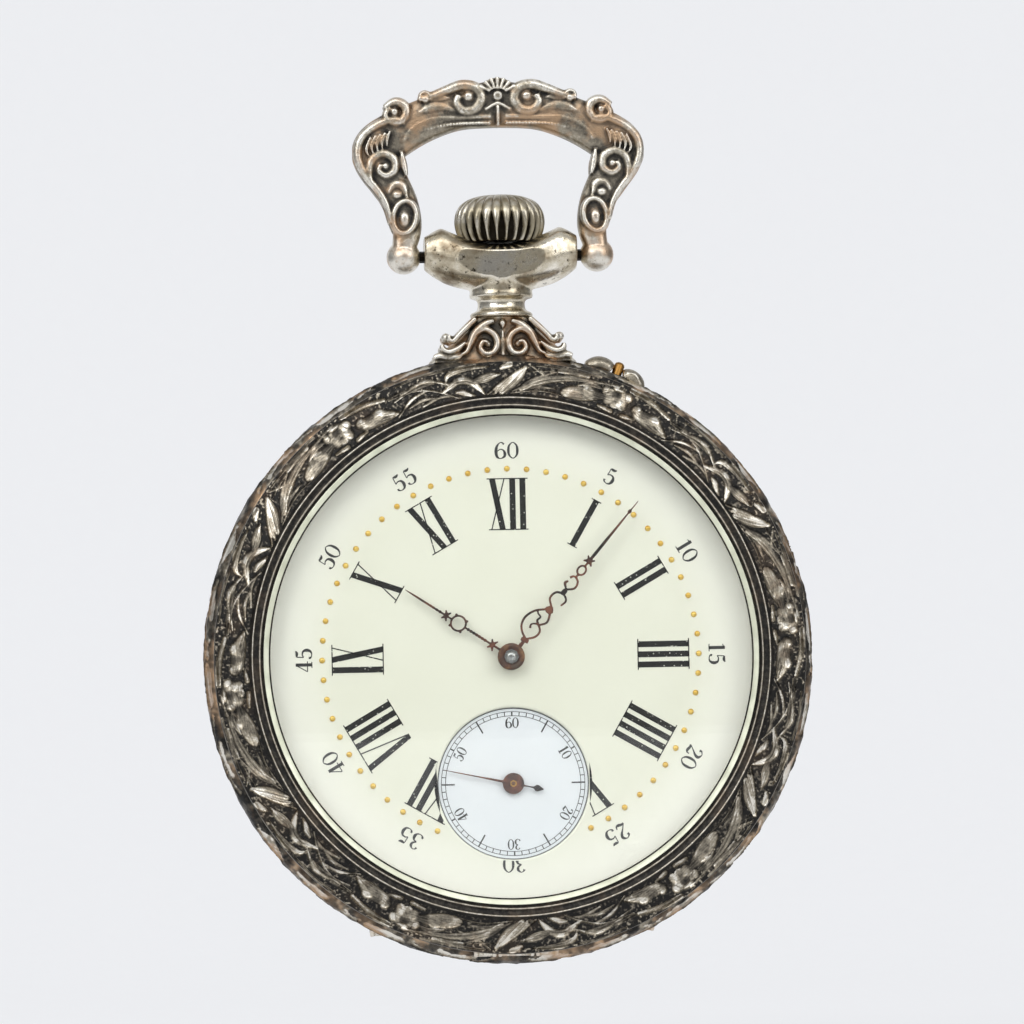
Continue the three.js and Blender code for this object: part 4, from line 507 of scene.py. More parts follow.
# A smooth line through a few points, each with any number of values
def smoothLine(points, steps=6, closed=False):
    points = np.asarray(points, dtype=float)
    if closed:
        padded = np.vstack((points[-1], points, points[0], points[1]))
    else:
        padded = np.vstack((2 * points[0] - points[1], points, 2 * points[-1] - points[-2]))
    line = []
    for k in range(1, len(padded) - 2):
        a, b, c, d = padded[k - 1:k + 3]
        for t in np.linspace(0, 1, steps, endpoint=False):
            line.append(0.5 * (2 * b + (c - a) * t + (2 * a - 5 * b + 4 * c - d) * t * t
                               + (3 * b - a - 3 * c + d) * t ** 3))
    if not closed:
        line.append(points[-1])
    return np.array(line)


# A bar along a line of (x, y, z, half width, half depth), closed at both ends; round, or squarer below 1
def bar(line, sides=12, square=1.0):
    line = np.asarray(line, dtype=float)
    path, across, deep = line[:, :3], line[:, 3], line[:, -1]
    ahead = np.gradient(path, axis=0)
    ahead /= np.linalg.norm(ahead, axis=1)[:, None] + 1e-9
    upright = np.array([0.0, 0.0, 1.0])
    side = np.cross(upright, ahead)
    lengths = np.linalg.norm(side, axis=1)
    side[lengths < 0.1] = (1.0, 0.0, 0.0)
    side /= np.linalg.norm(side, axis=1)[:, None]
    up = np.cross(ahead, side)
    turns = np.linspace(0, 2 * math.pi, sides, endpoint=False)
    sideways, upward = squared(np.cos(turns), square), squared(np.sin(turns), square)
    ring = (path[:, None, :] + side[:, None, :] * (across[:, None] * sideways)[:, :, None]
            + up[:, None, :] * (deep[:, None] * upward)[:, :, None])
    return np.vstack((ring.reshape(-1, 3), path[0], path[-1])), loftFaces(len(path), sides)


def smoothBar(points, steps=6, sides=10):
    return bar(smoothLine(points, steps), sides)


# An ellipsoid of rings between two poles
def ball(centre, radii, sides=20):
    radii = np.broadcast_to(np.asarray(radii, dtype=float), (3,))
    rows = sides // 2
    line = []
    for k in range(rows + 1):
        angle = math.pi * k / rows
        line.append((math.sin(angle), math.cos(angle)))
    outline = [(0.0, 1.0)] + line[1:-1] + [(0.0, -1.0)]
    points, faces = turnedSolid(outline, sides)
    return points * radii + np.asarray(centre, dtype=float), faces


# A volute: a bar that curls inward from a start angle, ending in a small knob
def volute(centre, start, turns, outer, inner, thick, front, depth, knob=1.5):
    steps = int(26 * abs(turns)) + 4
    line = []
    for k in range(steps + 1):
        t = k / steps
        angle = math.radians(start) + 2 * math.pi * turns * t
        radius = outer + (inner - outer) * t ** 0.85
        width = thick * (1.0 - 0.45 * t)
        line.append((centre[0] + radius * math.cos(angle), centre[1] + radius * math.sin(angle), front, width,
                     depth))
    end = line[-1]
    return [bar(line), ball((end[0], end[1], front), (thick * knob, thick * knob, depth * 1.15))]


def mirrored(parts, axis=0):
    flipped = []
    for points, faces in parts:
        other = np.array(points, dtype=float)
        other[:, axis] *= -1
        flipped.append((other, [tuple(reversed(face)) for face in faces]))
    return parts + flipped


def joined(parts):
    allPoints, allFaces, start = [], [], 0
    for points, faces in parts:
        points = np.asarray(points, dtype=float)
        allPoints.append(points)
        allFaces.extend(tuple(start + k for k in face) for face in faces)
        start += len(points)
    return np.vstack(allPoints), allFaces


# Melts overlapping parts into one closed skin, as a casting is, and softens it
def cast(parts, grain, smoothing=4):
    points, faces = joined(parts)
    mesh = bpy.data.meshes.new("melt")
    mesh.from_pydata(points.tolist(), [], faces)
    melt = bpy.data.objects.new("melt", mesh)
    bpy.context.scene.collection.objects.link(melt)
    remesh = melt.modifiers.new("remesh", "REMESH")
    remesh.mode = "VOXEL"
    remesh.voxel_size = grain
    remesh.use_smooth_shade = True
    soft = melt.modifiers.new("soft", "SMOOTH")
    soft.factor = 0.5
    soft.iterations = smoothing
    shaped = melt.evaluated_get(bpy.context.evaluated_depsgraph_get()).to_mesh()
    outPoints = np.empty(len(shaped.vertices) * 3)
    shaped.vertices.foreach_get("co", outPoints)
    outFaces = [tuple(polygon.vertices) for polygon in shaped.polygons]
    normals = np.empty(len(shaped.vertices) * 3)
    shaped.vertices.foreach_get("normal", normals)
    edges = np.array([edge.vertices[:] for edge in shaped.edges])
    melt.to_mesh_clear()
    bpy.data.objects.remove(melt)
    return outPoints.reshape(-1, 3), outFaces, normals.reshape(-1, 3), edges


# How far each point stands out from the smoothed shape around it: 0 in a hollow, 1 on a ridge
def standOut(points, normals, edges, rounds=10, reach=0.12, middle=0.5):
    smooth = points.copy()
    count = len(points)
    degree = np.bincount(edges.ravel(), minlength=count)[:, None] + 1e-9
    for _ in range(rounds):
        total = np.column_stack([
            np.bincount(edges[:, 0], weights=smooth[edges[:, 1], k], minlength=count)
            + np.bincount(edges[:, 1], weights=smooth[edges[:, 0], k], minlength=count) for k in range(3)
        ])
        smooth = 0.3 * smooth + 0.7 * total / degree
    height = np.sum((points - smooth) * normals, axis=1)
    return np.clip(middle + height / reach, 0, 1)


# Seeded value noise on a grid that closes on itself, for hammered and stippled grounds
def groundNoise(rows, columns, cellRows, cellColumns, seed):
    rng = np.random.default_rng(seed)
    cells = rng.random((max(1, rows // cellRows), max(1, columns // cellColumns + 2)))
    r = np.arange(rows) * len(cells) / rows
    c = np.arange(columns) * (cells.shape[1] - 2) / columns
    r0, c0 = np.floor(r).astype(int), np.floor(c).astype(int)
    fr, fc = r - r0, c - c0
    fr, fc = fr * fr * (3 - 2 * fr), fc * fc * (3 - 2 * fc)
    r0, r1 = r0 % len(cells), (r0 + 1) % len(cells)
    top = cells[r0][:, c0] * (1 - fc) + cells[r0][:, c0 + 1] * fc
    low = cells[r1][:, c0] * (1 - fc) + cells[r1][:, c0 + 1] * fc
    return top * (1 - fr)[:, None] + low * fr[:, None] - 0.5


# How far a relief stands above its own surroundings along the strip, so that borders come out dark, as oxide
# and painted shade
def aboveAround(field):
    blurred = field
    for shift in (4, 9, 16):
        blurred = (blurred + np.roll(field, shift, axis=0) + np.roll(field, -shift, axis=0)) / 3
    return field - blurred


# Raises a tapered leaf or stem on a flat strip; each point is (along, across, half width) in mm
def raiseLeaf(field, along, across, points, height, base=0.0, period=None, vein=0.0, stripes=0.0):
    line = smoothLine(points, 5)
    best = np.full(field.shape, 9.0)
    sideways = np.zeros(field.shape)
    for (x0, y0, w0), (x1, y1, w1) in zip(line[:-1], line[1:]):
        dx, dy = x1 - x0, y1 - y0
        length = dx * dx + dy * dy + 1e-9
        reach = max(w0, w1, 0.02) * 1.5
        px = along - x0
        if period:
            px = (px + period / 2 - dx / 2) % period - period / 2 + dx / 2
        t = np.clip((px * dx + (across - y0) * dy) / length, 0, 1)
        ox, oy = px - t * dx, across - y0 - t * dy
        width = np.maximum(w0 + t * (w1 - w0), 0.02)
        share = np.hypot(ox, oy) / width
        closer = share < best
        best = np.where(closer, share, best)
        sideways = np.where(closer, (ox * dy - oy * dx) / (math.sqrt(length) * width), sideways)
    shape = np.sqrt(np.clip(1 - best ** 2, 0, 1))
    rise = base + height * shape
    rise = rise - vein * np.exp(-(sideways / 0.16) ** 2) * shape
    rise = rise - stripes * (0.5 + 0.5 * np.cos(sideways * 14)) * shape
    return np.where(best < 1, np.maximum(field, rise), field)


# The reeds and water flowers that run round the bezel six times; each period is 60 degrees.
# Places are mm on the flattened band: along the ring clockwise, then outward from the groove
reedBand = {
    "inner": 22.2, "outer": 25.0, "innerHeight": 5.0, "outerHeight": 3.84, "height": 0.85, "full": 1.12,
    "thin": 0.07, "rows": 2600, "repeats": 6, "stipple": 0.05, "column": 0.055,
    "middle": 23.9, "across": 2.65,  # the radius that is flattened, and how wide the pattern is drawn
    "groundTone": 0.06, "leafTone": 0.33, "borderOxideAndShadeTone": 1.5, "grooveTone": 0.03, "topTone": 0.72,
}
bandPeriod = 2 * math.pi * reedBand["middle"] / reedBand["repeats"]
reedLeaves = [  # (height, vein, stripes, points as along, outward, half width)
    (0.2, 0.0, 0.0, [(0.4, 0.1, 0.05), (3.0, 0.42, 0.07), (5.2, 0.3, 0.04)]),
    (0.22, 0.0, 0.0, [(1.83, 1.92, 0.06), (3.3, 2.1, 0.07), (4.58, 2.24, 0.06)]),
    (0.24, 0.08, 0.0, [(1.28, 0.27, 0.06), (2.38, 0.72, 0.17), (4.4, 0.75, 0.04)]),
    (0.24, 0.06, 0.0, [(2.2, 2.45, 0.05), (3.4, 1.75, 0.12), (5.2, 1.3, 0.05)]),
    (0.34, 0.1, 0.0, [(1.28, 0.4, 0.14), (2.75, 1.15, 0.32), (4.58, 1.68, 0.3), (6.4, 1.98, 0.2),
                      (9.7, 2.4, 0.05)]),
    (0.4, 0.12, 0.03, [(-0.45, 0.2, 0.22), (0.75, 1.2, 0.5), (1.7, 2.3, 0.16)]),
    (0.36, 0.0, 0.05, [(-0.3, 2.25, 0.2), (0.45, 2.5, 0.22)]),
    (0.24, 0.0, 0.0, [(2.6, 2.5, 0.06), (5.0, 2.52, 0.1), (8.0, 2.6, 0.05)]),
    (0.26, 0.0, 0.0, [(14.6, 1.9, 0.06), (16.5, 1.95, 0.07), (18.3, 1.92, 0.07), (20.1, 1.47, 0.06)]),
    (0.26, 0.0, 0.0, [(14.8, 1.74, 0.06), (17.4, 1.6, 0.08), (19.2, 0.92, 0.08), (20.7, 0.1, 0.05)]),
    (0.32, 0.0, 0.04, [(15.9, 1.74, 0.07), (18.3, 2.1, 0.18), (20.1, 1.38, 0.08)]),
    (0.26, 0.06, 0.0, [(16.1, 0.45, 0.04), (17.5, 0.7, 0.16), (18.9, 0.55, 0.04)]),
    (0.24, 0.06, 0.0, [(15.0, 0.15, 0.04), (16.8, 1.1, 0.14), (18.4, 1.35, 0.05)]),
    (0.24, 0.0, 0.0, [(15.8, 2.5, 0.06), (18.0, 2.6, 0.09), (20.5, 2.5, 0.05)]),
    (0.38, 0.1, 0.0, [(19.4, 0.82, 0.1), (20.3, 1.25, 0.26), (21.1, 1.48, 0.32), (22.0, 1.28, 0.32),
                      (22.6, 0.7, 0.22), (23.1, 0.1, 0.07)]),
    (0.32, 0.1, 0.0, [(20.6, 0.62, 0.12), (21.4, 0.4, 0.26), (22.2, 0.05, 0.1)]),
    (0.38, 0.08, 0.0, [(19.9, 1.6, 0.08), (20.2, 2.1, 0.2), (21.1, 2.36, 0.26), (22.3, 2.42, 0.18),
                       (23.8, 2.36, 0.05)]),
    (0.36, 0.0, 0.08, [(21.7, 1.2, 0.07), (23.2, 1.43, 0.36), (24.6, 1.75, 0.08)]),
    (0.3, 0.08, 0.0, [(23.3, 0.05, 0.06), (24.9, 1.1, 0.17), (26.5, 2.2, 0.06)]),
    (0.36, 0.1, 0.0, [(23.9, 0.05, 0.1), (24.7, 0.85, 0.24), (26.1, 2.0, 0.07)]),
    (0.28, 0.0, 0.0, [(25.6, 0.3, 0.08), (26.9, 0.85, 0.16), (27.6, 1.1, 0.05)]),
    (0.44, 0.0, 0.05, [(10.7, 2.5, 0.18), (12.5, 2.36, 0.24), (14.5, 1.98, 0.18)]),
    (0.4, 0.0, 0.05, [(4.5, 2.3, 0.15), (5.7, 2.34, 0.2), (7.0, 2.42, 0.15)]),
    (0.46, 0.1, 0.05, [(5.2, 0.45, 0.14), (6.5, 0.75, 0.52), (7.8, 1.05, 0.46), (8.9, 1.2, 0.16)]),
    (0.46, 0.1, 0.05, [(11.5, 1.25, 0.18), (12.6, 0.95, 0.46), (13.7, 0.8, 0.54), (15.1, 0.5, 0.14)]),
    (0.3, 0.0, 0.0, [(8.4, 0.35, 0.12), (9.7, 0.2, 0.2)]),
    (0.3, 0.0, 0.0, [(10.7, 0.2, 0.2), (11.9, 0.38, 0.12)]),
    (0.34, 0.1, 0.0, [(6.3, 1.5, 0.08), (7.4, 1.85, 0.24), (8.6, 1.75, 0.08)]),
    (0.22, 0.0, 0.0, [(0.9, 0.3, 0.1), (2.2, 1.3, 0.12), (4.4, 2.2, 0.06)]),
    (0.2, 0.0, 0.0, [(15.2, 1.4, 0.06), (17.0, 1.75, 0.12), (19.3, 1.75, 0.06)]),
    (0.2, 0.0, 0.0, [(17.4, 0.2, 0.1), (19.2, 0.5, 0.16), (20.4, 0.3, 0.06)]),
]
reedLumps = [  # the flower group: (along, outward, half length, half width, lean, height)
    (6.35, 0.82, 1.55, 0.6, 0.16, 0.42), (7.3, 1.05, 0.8, 0.55, -0.1, 0.46),
    (12.75, 0.85, 1.35, 0.58, -0.1, 0.42), (13.4, 1.0, 0.75, 0.5, 0.3, 0.46),
    (9.7, 1.5, 1.25, 0.82, 0.05, 0.4), (9.2, 1.15, 0.62, 0.5, 0.5, 0.54),
    (10.3, 1.1, 0.62, 0.5, -0.5, 0.54), (9.75, 0.95, 0.55, 0.42, 0.0, 0.58),
    (8.7, 1.85, 0.42, 0.34, 0.8, 0.46), (10.7, 1.85, 0.42, 0.34, -0.8, 0.46),
    (9.7, 2.2, 0.6, 0.22, 0.0, 0.44), (11.7, 1.2, 0.5, 0.36, 0.4, 0.36),
]
flowerEye = (9.7, 1.82, 0.5, 0.26, 0.2)  # along, outward, half length, half width, depth


def reedRelief(along, outward):
    band = reedBand
    field = np.zeros(along.shape)
    for height, vein, stripes, points in reedLeaves:
        full = [(x, y, max(w * band["full"], band["thin"])) for x, y, w in points]
        field = raiseLeaf(field, along, outward, full, height, 0.04, bandPeriod, vein, stripes)
    for x, y, long, wide, lean, height in reedLumps:
        px = (along - x + bandPeriod / 2) % bandPeriod - bandPeriod / 2
        py = outward - y
        u = (px * math.cos(lean) + py * math.sin(lean)) / long
        v = (py * math.cos(lean) - px * math.sin(lean)) / wide
        lump = np.sqrt(np.clip(1 - u ** 2 - v ** 2, 0, 1))
        # each petal is crumpled along its length
        crease = 0.02 * np.cos(7 * v + 2.5 * u) * lump
        field = np.where(lump > 0, np.maximum(field, 0.05 + height * lump ** 0.6 - crease), field)
    x, y, long, wide, deep = flowerEye
    px = (along - x + bandPeriod / 2) % bandPeriod - bandPeriod / 2
    field = field - deep * np.exp(-1.4 * ((px / long) ** 2 + ((outward - y) / wide) ** 2))
    return np.maximum(field, 0) * band["height"]


# Bezel: a cast ring with a polished stepped lip and a sunk band of reeds
bezelStep = {
    "lip": [(20.68, 3.62), (20.68, 5.03), (20.42, 5.07), (20.36, 5.1), (20.35, 5.15), (20.4, 5.18),
            (20.46, 5.16), (20.5, 5.12), (20.7, 5.16), (20.88, 5.24), (20.94, 5.22), (20.99, 5.16),
            (21.05, 5.22), (21.11, 5.34), (21.18, 5.42), (21.24, 5.45), (21.3, 5.44), (21.36, 5.38),
            (21.42, 5.34), (21.55, 5.36), (21.7, 5.42), (21.78, 5.48), (21.84, 5.56), (21.89, 5.57),
            (21.94, 5.5), (22.0, 5.36), (22.08, 5.2), (22.16, 5.1)],
    "back": [(25.05, 3.78), (25.1, 3.5), (25.1, 2.52), (25.05, 2.48), (24.0, 2.48), (22.1, 3.6)],
    "edges": ((21.25, 0.6), (21.87, 0.62)), "edgeWidth": 0.06, "tone": 0.1, "backTone": 0.35,
    "wallTone": 0.7, "wallHeight": 5.05, "wallRadius": 20.7,
    "seat": [(20.47, 5.13), (20.5, 5.17), (20.7, 5.22), (20.88, 5.29), (20.92, 5.27), (20.9, 5.18),
             (20.5, 5.08)],
}


def makeBezel():
    band = reedBand
    columns = int((band["outer"] - band["inner"]) / band["column"])
    share = np.linspace(0, 1, columns)
    radius = band["inner"] + (band["outer"] - band["inner"]) * share
    # the band is slightly hollow across, as a cove
    height = band["innerHeight"] + (band["outerHeight"] - band["innerHeight"]) * share ** 1.15
    outline = np.vstack((bezelStep["lip"], np.column_stack((radius, height)), bezelStep["back"]))
    first, rows = len(bezelStep["lip"]), band["rows"]
    angles = np.linspace(0, 2 * math.pi, rows, endpoint=False)
    along = (angles * band["middle"])[:, None] % bandPeriod + np.zeros((1, columns))
    outward = (share * band["across"])[None, :] + np.zeros((rows, 1))
    field = reedRelief(along, outward)
    stipple = groundNoise(rows, columns, 3, 3, 4) + 0.6 * groundNoise(rows, columns, 2, 2, 9)
    lumps = groundNoise(rows, columns, 14, 12, 5)
    ground = field < 0.03
    edge = np.clip(np.minimum(share, 1 - share) / 0.05, 0, 1)[None, :]
    rise = np.zeros((rows, len(outline)))
    shown = field * edge + np.where(ground, stipple * band["stipple"], stipple * 0.015) + lumps * 0.02
    rise[:, first:first + columns] = shown
    # the lip is dark oxidised silver; at its inner edge the dark also stands as a painted shadow line over
    # the dial
    relief = np.full(rise.shape, bezelStep["tone"])
    wall = (outline[:, 0] < bezelStep["wallRadius"]) & (outline[:, 1] < bezelStep["wallHeight"])
    relief[:, wall] = bezelStep["wallTone"]
    # leaves are rubbed bright and dark along their borders, partly oxide and partly painted shade; the sunk
    # ground keeps its black
    grooved = band["grooveTone"] * np.cos(outward * 34 + 3 * np.sin(along * 1.7)) * (field > 0.1)
    level = (band["groundTone"] + band["leafTone"] * np.clip((field - 0.07) / 0.1, 0, 1)
             + band["borderOxideAndShadeTone"] * aboveAround(field) + grooved)
    dots = band["groundTone"] + 0.5 * np.clip(stipple * 3.0 - 0.25, 0, 1) * (0.6 + 0.45 * share ** 2)[None, :]
    relief[:, first:first + columns] = np.clip(np.where(ground, dots, level), 0.0, band["topTone"])
    for edgeRadius, lift in bezelStep["edges"]:
        relief[:, :first] += lift * np.exp(-((outline[:first, 0] - edgeRadius) / bezelStep["edgeWidth"]) ** 2)
    behind = groundNoise(rows, len(outline) - first - columns, 20, 1, 8)
    relief[:, first + columns:] = bezelStep["backTone"] + 0.3 * behind
    points, faces = turnedRing(outline, rows, rise)
    makePiece("bezelCasting", points, faces, bezelSilver, "bezel", ["bezel"], relief.reshape(-1))
    # the polished seat round the glass, with the dial's reflection painted into its cream colour
    points, faces = turnedRing(bezelStep["seat"], 360)
    sharpen(makePiece("bezelSeat", points, faces, seatPaintedReflection, "bezel", ["bezel"]))


makeBezel()
print("bezel made")

# Case band: turned ring with an embossed outer face, its two hinges at 6 o'clock
bandSize = {
    "radius": boxOf("case_band")[1][0] - 0.13, "half": 2.46, "inner": 21.3, "lip": 24.9, "bulge": 0.78,
    "columns": 46, "rows": 1600, "full": 1.35, "repeats": 6, "edgeTone": 0.4,
    "ledge": [(20.4, 2.3), (21.5, 2.3), (21.5, 1.2), (20.4, 1.2)],
}
sideStems = [  # reeds laid along the band: (height, points as along, across, half width)
    (0.2, [(0.0, -1.6, 0.14), (4.0, 0.2, 0.32), (9.0, 1.9, 0.1)]),
    (0.2, [(2.0, 2.0, 0.14), (7.0, -0.3, 0.32), (12.5, -1.7, 0.1)]),
    (0.2, [(8.0, -1.8, 0.14), (12.0, 0.0, 0.36), (15.5, 2.0, 0.1)]),
    (0.22, [(14.0, 1.9, 0.14), (17.0, 0.4, 0.4), (20.5, -1.6, 0.1)]),
    (0.2, [(17.0, -1.8, 0.14), (21.0, 0.2, 0.32), (26.0, 1.9, 0.1)]),
    (0.24, [(10.2, 1.6, 0.4), (12.0, 1.5, 0.5), (13.2, 1.7, 0.3)]),
    (0.24, [(22.6, 1.5, 0.3), (24.2, 1.7, 0.48), (25.6, 1.4, 0.2)]),
    (0.22, [(3.6, 1.9, 0.2), (5.2, 1.5, 0.36), (6.6, 1.9, 0.2)]),
    (0.24, [(17.4, 1.9, 0.2), (18.8, 1.6, 0.4), (20.6, 1.9, 0.16)]),
    (0.24, [(23.0, -1.0, 0.4), (24.2, -0.8, 0.4)]),
    (0.22, [(5.0, -1.7, 0.2), (6.4, -1.4, 0.4), (7.6, -1.7, 0.2)]),
]


def makeBand():
    size = bandSize
    half, radius, columns, rows = size["half"], size["radius"], size["columns"], size["rows"]
    t = np.linspace(-1, 1, columns)
    face = np.column_stack((radius - size["bulge"] * np.abs(t) ** 4, -half * t))
    front = [(size["inner"], half - 0.3), (size["inner"] + 0.3, half), (size["lip"], half)]
    back = [(r, -z) for r, z in reversed(front)]
    first = len(front)
    outline = np.vstack((front, face, back))
    angles = np.linspace(0, 2 * math.pi, rows, endpoint=False)
    along = (angles * radius)[:, None] + np.zeros((1, columns))
    across = (-half * t)[None, :] + np.zeros((rows, 1))
    field = np.zeros(along.shape)
    period = 2 * math.pi * radius / size["repeats"]
    for height, points in sideStems:
        full = [(x, y, w * size["full"]) for x, y, w in points]
        field = raiseLeaf(field, along % period, across, full, height, 0.02, period, 0.04, 0.0)
    stipple = groundNoise(rows, columns, 3, 3, 14) + 0.6 * groundNoise(rows, columns, 2, 2, 19)
    lumps = groundNoise(rows, columns, 8, 9, 31)
    fade = np.clip((1 - np.abs(t)) / 0.06, 0.25, 1)[None, :]
    rise = np.zeros((rows, len(outline)))
    rise[:, first:first + columns] = np.clip(field - 0.06 + stipple * 0.04 + 0.14 * lumps, -0.16, 0.12) * fade
    relief = np.full(rise.shape, size["edgeTone"])
    level = 0.24 + 0.45 * np.clip(field / 0.2, 0, 1) + 0.5 * lumps + 0.25 * stipple
    relief[:, first:first + columns] = np.clip(level, 0.05, 0.8)
    points, faces = turnedRing(outline, rows, rise)
    makePiece("bandCasting", points, faces, bandSilver, "case", ["case_band"], relief.reshape(-1))
    points, faces = turnedRing(size["ledge"], 240)
    sharpen(makePiece("bandLedge", points, faces, plainSilver, "case", ["case_band"]))


makeBand()
print("case band made")

# Back cover: a domed lid with crossing reeds and a beaded ring round a plain disc
lidShape = {
    "rim": 25.08, "wall": 0.75, "rows": 1200, "chord": -21.95, "plain": 6.8, "beadRing": 7.3, "beads": 72,
    "outside": [(24.35, -4.35), (21.6, -5.75), (17.2, -6.78), (11.8, -7.45), (7.2, -7.7)],
    "inside": [(15.5, -6.15), (20.5, -5.2), (23.4, -3.9), (24.1, -3.0), (24.1, -2.62)],
    "groundTone": 0.06, "plainTone": 0.42, "insideTone": 0.6, "topTone": 0.72,
}
lidReeds = [  # (height, vein, points as angle in degrees, radius, half width in mm)
    (0.3, 0.1, [(0, 10.0, 0.3), (14, 14.5, 0.75), (34, 18.2, 0.2)]),
    (0.3, 0.1, [(6, 19.2, 0.3), (20, 15.0, 0.7), (38, 10.5, 0.2)]),
    (0.28, 0.0, [(-6, 9.5, 0.15), (2, 14.0, 0.2), (12, 20.5, 0.15)]),
    (0.4, 0.0, [(11.0, 19.4, 0.42), (13.6, 21.6, 0.46)]),
    (0.3, 0.08, [(30, 9.0, 0.2), (44, 13.0, 0.6), (52, 19.8, 0.2)]),
    (0.28, 0.0, [(34, 21.6, 0.2), (44, 19.4, 0.5), (60, 21.2, 0.2)]),
]


def makeBackCover():
    size = lidShape
    low, high = boxOf("back_cover")
    deep = low[2]
    outer = smoothLine([(size["rim"], -2.62), (size["rim"], -3.1)] + size["outside"], 22)
    flat = [(x, deep + 0.02) for x in (6.0, 4.0, 2.0)]
    inner = smoothLine([(2.0, deep + size["wall"]), (8.0, deep + size["wall"] + 0.1)] + size["inside"], 4)
    outline = np.vstack((outer, flat))
    rows, columns = size["rows"], len(outline)
    angles = np.linspace(0, 2 * math.pi, rows, endpoint=False)
    degrees = (np.degrees(angles))[:, None] + np.zeros((1, columns))
    radius = outline[:, 0][None, :] + np.zeros((rows, 1))
    field = np.zeros(degrees.shape)
    for height, vein, points in lidReeds:
        line = smoothLine(points, 6)
        best = np.full(field.shape, 9.0)
        for (a0, r0, w0), (a1, r1, w1) in zip(line[:-1], line[1:]):
            local = (degrees % 60 - (a0 + a1) / 2 + 30) % 60 - 30 + (a0 + a1) / 2
            px, py = np.radians(local - a0) * radius, radius - r0
            dx, dy = math.radians(a1 - a0) * (r0 + r1) / 2, r1 - r0
            t = np.clip((px * dx + py * dy) / (dx * dx + dy * dy + 1e-9), 0, 1)
            share = np.hypot(px - t * dx, py - t * dy) / (w0 + t * (w1 - w0) + 0.02)
            best = np.minimum(best, share)
        shape = np.sqrt(np.clip(1 - best ** 2, 0, 1))
        rise = height * shape - vein * np.exp(-(best / 0.16) ** 2)
        field = np.where(best < 1, np.maximum(field, rise), field)
    beads = 0.65 + 0.35 * np.cos(np.radians(degrees) * size["beads"])
    field = np.maximum(field, 0.2 * np.exp(-((radius - size["beadRing"]) / 0.22) ** 2) * beads)
    fade = np.clip((radius - size["plain"] - 0.1) / 0.3, 0, 1) * np.clip((24.2 - radius) / 1.0, 0, 1)
    stipple = groundNoise(rows, columns, 4, 2, 24)
    rise = (field * 0.8 + 0.04 * stipple) * fade
    # the reeds' borders come out dark, as oxide and painted shade
    level = 0.08 + 0.32 * np.clip(field / 0.12, 0, 1) + 1.4 * aboveAround(field)
    dots = size["groundTone"] + 0.4 * np.clip(stipple * 3.0 - 0.25, 0, 1)
    level = np.where(radius < size["plain"], size["plainTone"], np.where(field < 0.02, dots, level))
    relief = np.clip(level, 0.0, size["topTone"])
    ahead = np.gradient(outline, axis=0)
    normals = np.column_stack((ahead[:, 1], -ahead[:, 0]))
    normals /= np.linalg.norm(normals, axis=1)[:, None]
    r = np.minimum(outline[None, :, 0] + rise * normals[None, :, 0], high[0])
    z = np.maximum(outline[None, :, 1] + rise * normals[None, :, 1], deep)
    r = np.concatenate((r, np.broadcast_to(inner[:, 0], (rows, len(inner)))), axis=1)
    z = np.concatenate((z, np.broadcast_to(inner[:, 1], (rows, len(inner)))), axis=1)
    grid = np.stack((r * np.sin(angles)[:, None], r * np.cos(angles)[:, None], z), axis=2)
    total = grid.shape[1]
    points = np.vstack((grid.reshape(-1, 3), [(0, 0, deep + 0.02), (0, 0, deep + size["wall"])]))
    faces = []
    seam = columns - 1
    for row in range(rows):
        here, there = row * total, ((row + 1) % rows) * total
        for c in range(total):
            d = (c + 1) % total
            if c == seam:
                faces.append((here + seam, there + seam, rows * total))
                faces.append((here + seam + 1, there + seam + 1, rows * total + 1))
            else:
                faces.append((here + c, there + c, there + d, here + d))
    lining = np.full((rows, len(inner)), size["insideTone"])
    relief = np.append(np.concatenate((relief, lining), axis=1).reshape(-1), [size["insideTone"]] * 2)
    # the lid stops at a straight chord above its hinge
    points[:, 1] = np.maximum(points[:, 1], size["chord"])
    makePiece("backLid", points, faces, bezelSilver, "back_cover", ["back_cover"], relief)


makeBackCover()
print("back cover made")

# Crystal: a low dome of glass with an even wall
glassShape = {
    "radius": 20.66, "edgeBack": 4.32, "edge": 0.69, "wall": 0.55, "rows": 160, "rings": 26,
    "top": boxOf("crystal")[1][2],
}


def makeCrystal():
    size = glassShape
    domes = []
    for edge, top in ((size["edgeBack"] + size["edge"], size["top"]),
                      (size["edgeBack"], size["top"] - size["wall"])):
        domes.append([(size["radius"] * s, edge + (top - edge) * (1 - s ** 2))
                      for s in np.linspace(0, 1, size["rings"])])
    points, faces = turnedSolid(domes[0] + domes[1][::-1], size["rows"])
    sharpen(makePiece("glassDome", points, faces, clearGlass, "bezel", ["crystal"]), 50)


makeCrystal()
print("crystal made")

# Dial: an ivory enamel disc with a sunk white seconds dial
dialLow, dialHigh = boxOf("dial")
dialSize = {
    "radius": 20.85, "sunk": 6.42, "rows": 240, "ink": 0.02, "edge": 0.25,
    "hours": (10.75, 15.15), "serif": 0.09, "serifReach": 0.2, "hoursClear": 0.25,
    "minuteRing": 17.5, "minuteTall": 1.42, "drops": 15.95, "dropRadius": 0.25, "dropRise": 0.2,
    "secondsTrack": (5.7, 6.05), "secondsEdge": 6.33, "secondsRing": 5.14, "secondsTall": 0.92,
    "secondsInk": 0.018, "fiveMark": 4.95,
}


